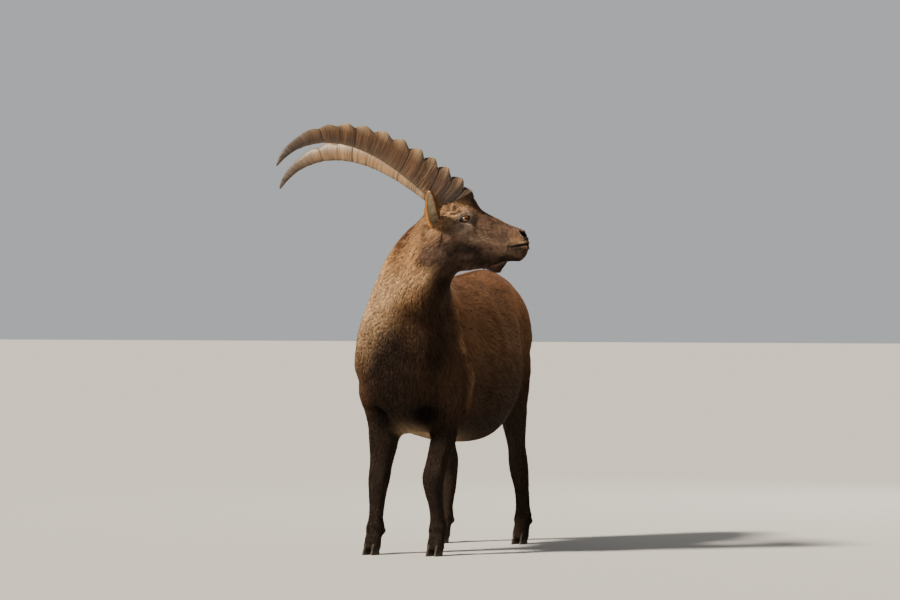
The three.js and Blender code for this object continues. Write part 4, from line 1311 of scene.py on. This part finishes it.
def mesh_from_arrays(name, points, faces, uv, colours):
    mesh = bpy.data.meshes.new(name)
    mesh.vertices.add(len(points))
    mesh.loops.add(faces.size)
    mesh.polygons.add(len(faces))
    mesh.vertices.foreach_set("co", placed(points).astype(WORD).ravel())
    mesh.loops.foreach_set("vertex_index", faces.astype(np.int32).ravel())
    mesh.polygons.foreach_set("loop_start", np.arange(0, faces.size, 3, dtype=np.int32))
    mesh.polygons.foreach_set("use_smooth", np.ones(len(faces), bool))
    mesh.update(calc_edges=True)
    layer = mesh.uv_layers.new(name="OFBake")
    layer.data.foreach_set("uv", uv[faces.ravel()].astype(WORD).ravel())
    colour_layer(mesh, colours)
    return mesh


def colour_layer(mesh, colours):
    layer = mesh.color_attributes.new(name="markings", type="FLOAT_COLOR", domain="POINT")
    full = np.column_stack([np.clip(colours, 0, 1), np.ones(len(colours))])
    layer.data.foreach_set("color", full.astype(WORD).ravel())


def tuft_mesh(name, grown, chosen, lengths, widths, lifts, ways, shades):
    """One closed spindle for each tuft: a sunk root, three points round its thick part and a tip."""
    root, normal, way = grown.root[chosen], grown.normal[chosen], ways[chosen]
    length, width, lift = (values[chosen][:, None] for values in (lengths, widths, lifts))
    across = np.cross(way, normal)
    lean = (0.1 * noise(root, 6, 21))[:, None] * length
    clump = (clump_middles - grown.root)[chosen]
    clump = clump - (clump * way).sum(1, keepdims=True) * way
    middle = root + 0.36 * length * way + 0.7 * lift * normal + 0.15 * clump
    tip = root + 0.97 * length * way + lift * normal + lean * across + 0.55 * clump
    low, wing = middle - 0.12 * width * normal, 0.5 * width * across
    made = [root - 0.8 * normal, low + wing, low - wing, middle + 0.22 * width * normal, tip]
    faces = (TUFT_FACES[None] + 5 * np.arange(len(root))[:, None, None]).reshape(-1, 3)
    uv = (grown.uv[chosen][:, None] + UV_AROUND[None]).reshape(-1, 2)
    colours = (shades[chosen][:, None] * SHADE_ALONG[None, :, None]).reshape(-1, 3)
    return mesh_from_arrays(name, np.stack(made, 1).reshape(-1, 3), faces, uv, colours)


def clumps_of(points, every, random):
    """For each root the middle of the clump that it belongs to, and the clump's number."""
    centres = points[random.permutation(len(points))[: len(points) // every]]
    tree = KDTree(len(centres))
    for i, centre in enumerate(centres.tolist()):
        tree.insert(centre, i)
    tree.balance()
    number = np.array([tree.find(point)[1] for point in points.tolist()])
    return centres[number], number


def streaks(points, ways, size, length, seed):
    """Noise drawn out along the lie of the hair."""
    steps = np.linspace(-0.5, 0.5, 7) * length
    return sum(noise(points + step * ways, size, seed) for step in steps) / 7**0.5


# Millimetres from tuft to tuft
TRUNK_GAP = 3.45
FACE_GAP = 2.2
MUZZLE_GAP = 1.75
JOWL_GAP = 1.5
EAR_GAP = 2.0
FACE_END = 230
SOLE_EDGE = 30


def spacing_of(points, kind):
    """Distance between tufts, and 0 where none grow."""
    folded, _ = sided(to_head(points))
    z = points[:, 2]
    away = distance(folded, FACE_MIDDLE)
    on_face = away < FACE_END
    jowl = (folded[:, 0] < 17) & (np.abs(folded[:, 1] + 136) < 27) & (folded[:, 2] < -90)
    at_lids = (np.abs(folded[:, 0] - EYE_CENTRE[0]) < BESIDE_EYE) & (almond(folded)[0] < 1.45)
    pad = (folded[:, 1] < -206) & (folded[:, 2] > -31)
    bare = at_lids | (nostril_share(folded)[0] < 1.15) | pad | (curve_distance(folded, MOUTH) < 4)
    gap = TRUNK_GAP - 0.95 * smoothstep(480, 330, z)
    gap = np.where(on_face, FACE_GAP + 1.2 * smoothstep(150, FACE_END, away), gap)
    gap = np.where(on_face & (folded[:, 1] < -130), MUZZLE_GAP, gap)
    gap = np.where(on_face & jowl, JOWL_GAP, gap)
    gap = np.where(kind >= EAR_LEFT, EAR_GAP, gap)
    return np.where((on_face & bare) | (z < SOLE_EDGE), 0, gap)


# Lengths and widths of the tufts, from which the lower legs and the muzzle take something off
TRUNK_HAIR, TRUNK_WIDTH = 21, 2.5
FACE_HAIR, FACE_WIDTH = 7.2, 1.2
EAR_HAIR, EAR_WIDTH, EAR_LIFT = 8, 1.2, 1.2
TAIL_HAIR = 66
FOREHEAD_HAIR = 34
COAT_SEED = 7

grown = Tufts(spacing_of, COAT_SEED)
ways = lie_of(grown.root, grown.normal)
folded, _ = sided(to_head(grown.root))
head_share = 1 - smoothstep(150, 235, distance(folded, FACE_MIDDLE))
low_share = smoothstep(520, 330, grown.root[:, 2])
depths = coat_depth(grown.root)
lengths = TRUNK_HAIR - 11 * low_share
pastern = smoothstep(60, 84, grown.root[:, 2]) * smoothstep(126, 96, grown.root[:, 2])
lengths = lengths + 7 * pastern
fineness = smoothstep(-90, -180, folded[:, 1])
fineness = fineness + 0.4 * smoothstep(-190, -206, folded[:, 1])
lengths = lengths * (1 - head_share) + (FACE_HAIR - 3.9 * fineness) * head_share
widths = (TRUNK_WIDTH - 0.8 * low_share) * (1 - head_share)
widths += (FACE_WIDTH - 0.35 * fineness) * head_share
on_ear = grown.kind >= EAR_LEFT
lengths[on_ear] = EAR_HAIR
widths[on_ear] = EAR_WIDTH
depths[on_ear] = EAR_LIFT
lengths = lengths * (1 + 0.18 * grown.random.uniform(-1, 1, grown.count))
lifts = depths * grown.random.uniform(0.7, 1.0, grown.count) * (1 - (0.25 + 0.2 * fineness) * head_share)
shades = shade_of(grown.root, grown.normal, grown.kind)
clump_middles, clump_number = clumps_of(grown.root, 7, grown.random)
clump_count = clump_number.max() + 1
clump_tone = grown.random.uniform(-1, 1, clump_count)[clump_number]
lengths *= 1 + 0.12 * grown.random.uniform(-1, 1, clump_count)[clump_number]
tone = 1 + 0.14 * grown.random.uniform(-1, 1, grown.count) + 0.16 * clump_tone
tone += 0.2 * streaks(grown.root, ways, 7, 45, 13) + 0.12 * streaks(grown.root, ways, 16, 110, 14)
shades = shades * np.clip(tone, 0.35, 1.8)[:, None]


def region_of(points, kind):
    """The name of the coat piece that each root belongs to."""
    folded, _ = sided(to_head(points))
    x, y, z = points.T
    side = np.where(x > 0, "_left", "_right")
    along = np.select([y < -200, y < 90, y < 300], ["front", "middle", "rear"], "rump")
    names = np.char.add(np.char.add("coat_trunk_", along), side).astype("U32")
    on_leg = (z < 430) & (np.abs(x) > 35) & (np.abs(y - 60) > 180)
    names[on_leg] = np.char.add(np.where(y < 0, "coat_leg_fore", "coat_leg_hind"), side)[on_leg]
    names[(curve_distance(points, centres_of(NECK)[2:]) < 230) & (z > 800) & (y < -150)] = "coat_neck"
    on_head = (folded[:, 1] < 110) & (folded[:, 2] > -235) & (z > 900)
    on_head &= np.linalg.norm(folded, axis=1) < HEAD_REACH
    names[on_head] = np.where(to_head(points)[:, 0] > 0, "coat_head_left", "coat_head_right")[on_head]
    names[kind >= EAR_LEFT] = "coat_ears"
    names[bearded] = "coat_beard"
    names[tailed] = "coat_tail"
    return names


# Locks that stand away from the lie: tail, beard, forehead tuft, curls behind the eye, under the ears

def styled(chosen, length, width=None, lift=None):
    """Sets the sizes of the chosen tufts."""
    for values, size in ((lengths, length), (widths, width), (lifts, lift)):
        if size is not None:
            values[chosen] = size


def varied(low, high, chosen):
    return grown.random.uniform(low, high, chosen.sum())


def part_of_head(at, size):
    """Roots within a box of the head's frame."""
    far = np.abs(folded - np.array(at)) / np.array(size)
    return (far.max(1) < 1) & (grown.kind == BODY)


def head_ways(chosen, way, mix):
    """Turns the chosen hair towards a way given in the head's frame."""
    turned = np.tile(unit(np.array(way, float)), (len(grown.root), 1))
    turned[:, 0] *= side_of
    turned = turned @ HEAD_TURN.T
    ways[chosen] = unit(ways[chosen] * (1 - mix) + turned[chosen] * mix)


folded, side_of = sided(to_head(grown.root))
tailed = (grown.root[:, 1] > 524) & (grown.root[:, 2] > 738) & (np.abs(grown.root[:, 0]) < 34)
styled(tailed, TAIL_HAIR * varied(0.75, 1.05, tailed), 3.2, 4)
bearded = part_of_head((0, -127, -118), (18, 37, 32)) & (folded[:, 2] < -0.62 * (folded[:, 1] + 136) - 99)
head_ways(bearded, (0.06, 0.38, -1), 0.92)
along = folded[:, 1] + 130
bag = -151 + np.where(along < 0, 17, 12) * (along / 37) ** 2 + 0.035 * folded[:, 0] ** 2
hanging = np.maximum((folded[:, 2] - bag)[bearded] * 1.08, 8)
styled(bearded, hanging * varied(0.8, 1.04, bearded), 2.2, 0.6)
tufted = part_of_head((0, 0, 92), (24, 20, 20))
head_ways(tufted, (0.1, 0.42, 1), 0.85)
styled(tufted, FOREHEAD_HAIR * varied(0.7, 1.05, tufted) * (1 - 0.012 * folded[tufted, 0]), 1.8)
curled = part_of_head((62, 50, 0), (30, 30, 30))
curl = along_skin(unit(noise_ways(grown.root, 11, (81, 82, 83))), grown.normal)
ways[curled] = unit(0.45 * ways[curled] + 0.9 * curl[curled])
styled(curled, 13, 1.8, 5 + 3 * noise(grown.root[curled], 8, 84))
under_ear = part_of_head((66, 92, -60), (34, 30, 44))
head_ways(under_ear, (0.2, 0.35, -1), 0.6)
styled(under_ear, 22, lift=5)

DARK_PIECES = ("leg", "beard", "tail")
FLESH = ("head", "neck", "torso", "tail", "leg", "ear")
regions = region_of(grown.root, grown.kind)
coats = {}
for name in map(str, np.unique(regions)):
    chosen = np.flatnonzero(regions == name)
    coats[name] = object_of(name, tuft_mesh(name, grown, chosen, lengths, widths, lifts, ways, shades))

skin_shade = shade_of(coordinates(skin_mesh), vertex_normals(skin_mesh), kinds)
colour_layer(skin_mesh, 0.8 * skin_shade)
set_coordinates(skin_mesh, placed(coordinates(skin_mesh)))
smooth_shaded(skin)
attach(skin, "root")
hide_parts(*[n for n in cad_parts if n.split("_")[0] in FLESH and "claw" not in n])
for name, piece in coats.items():
    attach(piece, "root")
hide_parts("beard")


def dressed(name, ending, made, colours):
    """A smooth, painted piece that takes its node's place."""
    points, faces = made
    piece = object_of(name + ending, mesh_of(name, placed(points), faces))
    colour_layer(piece.data, colours)
    smooth_shaded(piece)
    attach(piece, "root")
    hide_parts(name)
    return piece


# Horns: knobs on the front, growth rings all round

HORN_RINGS = 540
HORN_SIDES = 56
# The valleys between knobs that carry the dark groove of a winter's stop
YEAR_VALLEYS = (0, 2, 4, 7, 9)
# The left horn, 1, is painted paler as in sunlight and the right, -1, darker as in shade
HORN_LIT_AND_SHADED = {1: (0.22, 0.125, 0.055), -1: (0.12, 0.056, 0.023)}
SQUARENESS = 2 / 2.7


def wobble(values, size, seed):
    """Smooth noise along one line."""
    return noise(np.stack([values, 0 * values, 0 * values], 1), size, seed)


def horn_shape(side):
    """Rings of a horn, and for each point: how far along, how far in front, knob and nearest groove."""
    t = np.linspace(0, 1, HORN_RINGS)
    t = np.unique(np.concatenate([t, np.linspace(0.97, 1, 24)]))
    angle = round_turn(HORN_SIDES)[None]
    front, lateral = np.cos(angle), np.sin(angle)
    rise, middle = horn_line(t)
    skew = math.radians(HORN_BASE_SKEW) * np.maximum(0, 1 - t / HORN_SKEW_FADE)
    along = np.stack([np.zeros_like(t), np.cos(rise), np.sin(rise)], 1)
    ahead = np.stack([np.zeros_like(t), -np.sin(rise + skew), np.cos(rise + skew)], 1)
    across = unit(SIDEWAYS - HORN_LEAN * along)
    thin = ((1 - t) ** HORN_THINNING)[:, None]
    depth = (HORN_BASE_DEPTH / 2) * thin + 1.5
    width = (HORN_BASE_WIDTH / 2) * ((1 - t) ** 0.6 * (1 - 0.16 * t))[:, None] + 1.5
    # the ridges slant towards the root on the way to the back
    slant = 0.005 + 0.014 * smoothstep(0.4, 0.05, t)
    leant = t[:, None] + slant[:, None] * (1 - front)
    swell = knob_swell(leant.ravel()).reshape(leant.shape)
    narrow = np.where(front < 0, 1 + 0.28 * front, 1)
    facing = smoothstep(0, 1, np.maximum(0, front))
    rounded = smoothstep(0.3, 0.98, front)
    knob = (KNOB_HEIGHT + 3) * swell**0.7 * thin**0.5 * rounded - 2.5 * thin * facing
    knob = knob * (0.2 + 0.8 * smoothstep(0.012, 0.04, leant))
    near_base = (0.35 + 0.65 * smoothstep(0.45, 0.1, t))[:, None]
    rib = 2.3 * SIDE_RIB_HEIGHT * swell**1.5 * thin * near_base
    rib = rib * (1 - np.abs(front)) * (0.5 + 0.5 * facing)
    millimetres = t * HORN_LENGTH
    growth = 0.8 * wobble(millimetres, 4.2, 41) + 1.0 * wobble(millimetres, 11, 42)
    growth = growth[:, None] * (0.4 + 0.6 * (1 - facing)) * np.minimum(1, 3 * thin)
    folds = wobble(leant.ravel() * HORN_LENGTH, 6.5, 43).reshape(leant.shape)
    growth = growth + 1.5 * np.abs(folds) * smoothstep(0.34, 0.03, leant)
    edges = np.array([*KNOBS, KNOBS_END])
    valleys = ((edges[:-1] + edges[1:]) / 2)[np.array(YEAR_VALLEYS)]
    year = np.abs(leant[..., None] - valleys).min(-1) * HORN_LENGTH
    groove = 1.5 * np.exp(-((year / 2.2) ** 2)) * (0.35 + 0.65 * (1 - facing))
    forward = depth * power(front, SQUARENESS) + knob + (growth - groove) * front
    sideways = (width * narrow + rib + growth - groove) * power(lateral, SQUARENESS)
    rings = middle[:, None] + forward[..., None] * ahead[:, None] + sideways[..., None] * across[:, None]
    fields = [np.broadcast_to(field, leant.shape)[:, ::side] for field in (leant, front, swell, year)]
    return flipped(rings, side)[:, ::side], fields


def horn_colours(side, leant, front, swell, year):
    """Brown horn, painted paler on the left and darker on the right as sunlight and shade: paler knobs and
    front, painted shade between knobs, dark grooves, a dark root and tip and fine growth lines.
    """
    leant, front, swell, year = (field.ravel() for field in (leant, front, swell, year))
    millimetres = leant * HORN_LENGTH
    place = np.stack([millimetres, 30 * front, np.zeros(leant.size)], 1)

    def drawn_out(share, size, seed):
        return noise(place * np.array([1, share, 1]), size, seed)

    lines = 0.5 * drawn_out(0.1, 3.6, 51) + 0.5 * drawn_out(0.05, 8, 52)
    thin_lines = np.sin(1.1 * millimetres + 2.6 * drawn_out(0.3, 16, 55))
    lines -= 0.75 * smoothstep(0.35, 1.0, thin_lines) * (1 - 0.6 * (front > 0.75))
    blotch = noise(place, 24, 53) * 0.6 + noise(place, 9, 54) * 0.4
    # one horn colour, painted lit on the left horn and shaded on the right
    paint = Paint(HORN_LIT_AND_SHADED[side], leant.size)
    facing = smoothstep(0.1, 0.95, front)
    paint.tint(facing * (0.35 + 0.65 * swell) * 0.85, (0.36, 0.245, 0.145))
    paint.tint(smoothstep(0.3, 0.0, leant) * (0.9 - 0.5 * facing * swell), (0.055, 0.034, 0.022))
    paint.tint(smoothstep(-0.3, -0.95, front) * 0.35, (0.24, 0.17, 0.1))
    paint.tint(smoothstep(0.6, 0.95, leant) * 0.9, (0.075, 0.055, 0.042))
    lined = np.maximum(1 + 0.55 * lines + 0.2 * blotch, 0.2)
    dark = np.exp(-((year / 2.0) ** 2)) * 0.6
    # painted shade in the valleys between the knobs, strongest on the front
    hollow = (1 - swell) * (0.3 + 0.7 * facing) * 0.36
    return paint.colour * (lined * (1 - dark) * (1 - hollow))[:, None]


def horn(side):
    rings, fields = horn_shape(side)
    name = "horn_left" if side > 0 else "horn_right"
    return dressed(name, "_ringed", in_head(tube(rings)), horn_colours(side, *fields))


horns = [horn(side) for side in (1, -1)]


# Eyes: a globe with a bulge over the iris and a level, slot-shaped pupil

IRIS = 11.2
IRIS_COLOUR = np.array([0.13, 0.04, 0.0105])
CORNEA_RISE = 1.6
PUPIL_HALF = 4.4
EYE_AIM = unit(np.array([0.95, -0.27, 0.12]))


def eye(side):
    rings, sides = 60, 64
    level = np.linspace(0, np.pi, rings + 1)[1:-1] ** 1.35 / np.pi**0.35
    angle = round_turn(sides)
    in_front = level < np.pi / 2
    flat = EYE_RADIUS * np.sin(level)[:, None] * np.ones(sides)
    bulge = CORNEA_RISE * np.exp(-((flat / IRIS) ** 4)) * in_front[:, None]
    out = EYE_RADIUS * np.cos(level)[:, None] + bulge
    ahead = unit(np.array([0, -1, 0]) + EYE_AIM[1] * EYE_AIM)
    upward = np.cross(ahead, EYE_AIM)
    upward = upward * np.sign(upward[2])
    a, b = flat * np.cos(angle), flat * np.sin(angle)
    globe = EYE_CENTRE + out[..., None] * EYE_AIM + a[..., None] * ahead + b[..., None] * upward
    made = in_head(tube(flipped(globe, side)[:, ::side]))
    a, b, flat = (values[:, ::side].ravel() for values in (a, b, flat))
    in_front = np.repeat(in_front, sides)
    paint = Paint((0.02, 0.014, 0.01), len(a))
    fibres = 1 + 0.35 * wobble(np.arctan2(b, a) * 40, 2.4, 61)
    bright = fibres * (0.55 + 0.75 * smoothstep(IRIS, IRIS * 0.4, flat))
    paint.tint(smoothstep(IRIS - 0.8, IRIS - 2.8, flat) * in_front, IRIS_COLOUR * bright[:, None])
    pupil = np.maximum(np.abs(a) - PUPIL_HALF, 0) ** 2 + b**2
    paint.tint(smoothstep(3.9**2, 3.1**2, pupil) * in_front, (0.004, 0.003, 0.003))
    return dressed("eye_left" if side > 0 else "eye_right", "_globe", made, paint.colour)


eyes = [eye(side) for side in (1, -1)]


# Hooves: walls with growth lines, and dewclaws

CLAW_LENGTH = 68
CLAW_WIDTH = 23
TOE_SPACING = 26
CLAW_SPLAY = 5
CORONET_FRONT = 38
CORONET_SLOPE = 20
CLAW = rows_of(
    "z back length width",
    (0, 0, 0.96, 0.94),
    (3, 1, 1, 1),
    (18, 7, 0.9, 0.99),
    (38, 15, 0.78, 0.95),
    (60, 22, 0.7, 0.9),
)


def claw(foot, toe):
    """A claw's wall, its top trimmed to the coronet's slope and its sole flat."""
    ahead, lateral = np.cos(round_turn(64)), np.sin(round_turn(64))
    taper = 1 - 0.34 * np.maximum(0, ahead)
    slope = math.tan(math.radians(CORONET_SLOPE))
    top = CORONET_FRONT - 0.5 - slope * (CLAW_LENGTH / 2) * (1 - ahead) * 0.85
    rings = []
    for share in np.linspace(0, 1, 34) ** 1.2:
        z = share * top
        back, length, width = (np.interp(z, CLAW["z"], CLAW[name]) for name in ("back", "length", "width"))
        grow = 0.14 * math.sin(share * 44 + 3 * math.sin(share * 9)) * (0.02 < share < 0.97)
        x = (CLAW_WIDTH / 2 * width * taper + grow) * power(lateral, 0.85)
        y = -(CLAW_LENGTH / 2 * length + grow) * power(ahead, 0.95) + back
        rings.append(np.stack([x, y, z], 1))
    middle = rings[-1].mean(0)
    rings.append(middle + (rings[-1] - middle) * 0.8 + np.array([0, 0, 1.2]))
    points, faces = tube(np.array(rings))
    points = points @ turning("Z", toe * CLAW_SPLAY).T
    return points + foot + np.array([toe * TOE_SPACING / 2, 0, 0]), faces


def dewclaw(rows, toe):
    low = np.flatnonzero(rows["z"] < 100)[0]
    at = np.array([rows["x"][low] + toe * 16, rows["y"][low] + 26, 76])
    points, faces = ball((0, 0, 0), (9, 9, 13), 0, 28)
    points[:, :2] *= (1 - 0.22 * np.abs((points[:, 2:] - 3) / 13) ** 1.5) * 0.96
    points[:, 2] -= 0.6 * np.sin(points[:, 2] * 1.6)
    return points @ turning("X", -25).T + at, faces


def hoof(name, made, shade):
    """Worn horn, pale along the edge that meets the floor."""
    points = made[0]
    worn = 0.7 + 0.7 * (0.5 + 0.5 * noise(points, 9, 71))
    paint = Paint(shade, len(points))
    paint.colour *= worn[:, None]
    paint.tint(0.5 * smoothstep(14, 2, points[:, 2]), (0.1, 0.085, 0.065))
    return dressed(name, "_horn", made, paint.colour)


CLAW_SHADE = np.array([0.03, 0.024, 0.02])
hooves = []
for name, rows in LEGS.items():
    foot = np.array([rows["x"][-1], rows["y"][-1] - 6, 0])
    for toe in (-1, 1):
        place = "outer" if toe * foot[0] > 0 else "inner"
        hooves.append(hoof(name + "_claw_" + place, claw(foot, toe), CLAW_SHADE))
        hooves.append(hoof(name + "_dewclaw_" + place, dewclaw(rows, toe), CLAW_SHADE * 0.6))


# Materials

def material_of(name, roughness, specular):
    material = bpy.data.materials.new(name)
    material.use_nodes = True
    shader = material.node_tree.nodes["Principled BSDF"]
    shader.inputs["Roughness"].default_value = roughness
    shader.inputs["Specular IOR Level"].default_value = specular
    return material, shader


def painted(name, roughness, specular, glaze=0.0):
    """A material that shows the markings, with a clear glaze over it where one is asked for."""
    material, shader = material_of(name, roughness, specular)
    markings = material.node_tree.nodes.new("ShaderNodeVertexColor")
    markings.layer_name = "markings"
    material.node_tree.links.new(markings.outputs["Color"], shader.inputs["Base Color"])
    if glaze:
        shader.inputs["Coat Weight"].default_value = glaze
        shader.inputs["Coat Roughness"].default_value = 0.04
    return material


coat, dark_coat = painted("coat", 0.75, 0.06), painted("dark_coat", 0.75, 0.06)
skin.data.materials.append(coat)
for name, piece in coats.items():
    piece.data.materials.append(dark_coat if name.split("_")[1] in DARK_PIECES else coat)
for pieces, material in (
    (horns, painted("horn", 0.5, 0.5)),
    (eyes, painted("eye", 0.3, 0.3, 0.45)),
    (hooves, painted("hoof", 0.75, 0.12)),
):
    for piece in pieces:
        piece.data.materials.append(material)


# Floor and light

FLOOR_REACH = 60
SUN_SIDE = Vector((-2.3, -3.06, 3.2))
SUN_STRENGTH, SUN_COLOUR = 10.5, (1, 0.9, 0.75)
SUN_SOFTNESS = math.radians(7)
RIM_PLACE, RIM_AIM = Vector((0.9, 4.6, 2.2)), Vector((0, 0, 0.8))
RIM_STRENGTH, RIM_COLOUR = 60, (1, 0.95, 0.88)
RIM_SIZE = 1.2


def make_floor():
    corners = np.array([(-1, -1, 0), (1, -1, 0), (1, 1, 0), (-1, 1, 0)], float) * FLOOR_REACH
    floor = object_of("floor", mesh_of("floor", corners, [(0, 1, 2, 3)]))
    plaster, shader = material_of("floor", 0.95, 0.1)
    shader.inputs["Base Color"].default_value = (0.46, 0.45, 0.435, 1)
    floor.data.materials.append(plaster)


def make_world():
    """A studio that is pale near the level of the eye and dimmer overhead."""
    world = bpy.data.worlds.new("studio")
    world.use_nodes = True
    nodes, links = world.node_tree.nodes, world.node_tree.links
    place = nodes.new("ShaderNodeTexCoord")
    parts = nodes.new("ShaderNodeSeparateXYZ")
    level = nodes.new("ShaderNodeMapRange")
    for name, value in {"From Min": 0.1, "From Max": 0.4, "To Min": 0.48, "To Max": 0.15}.items():
        level.inputs[name].default_value = value
    links.new(place.outputs["Generated"], parts.inputs[0])
    links.new(parts.outputs["Z"], level.inputs["Value"])
    links.new(level.outputs["Result"], nodes["Background"].inputs["Strength"])
    nodes["Background"].inputs["Color"].default_value = (0.96, 0.98, 1, 1)
    bpy.context.scene.world = world


def lamp(name, kind, strength, colour, turn, place=(0, 0, 0)):
    data = bpy.data.lights.new(name, kind)
    data.energy = strength
    data.color = colour
    light = bpy.data.objects.new(name, data)
    light.location = place
    light.rotation_euler = turn.to_euler()
    collection.objects.link(light)
    return data


make_floor()
make_world()
key = lamp("key", "SUN", SUN_STRENGTH, SUN_COLOUR, SUN_SIDE.to_track_quat("Z", "Y"))
key.angle = SUN_SOFTNESS
rim_turn = (RIM_AIM - RIM_PLACE).to_track_quat("-Z", "Y")
rim = lamp("rim", "AREA", RIM_STRENGTH, RIM_COLOUR, rim_turn, RIM_PLACE)
rim.shape = "DISK"
rim.size = RIM_SIZE
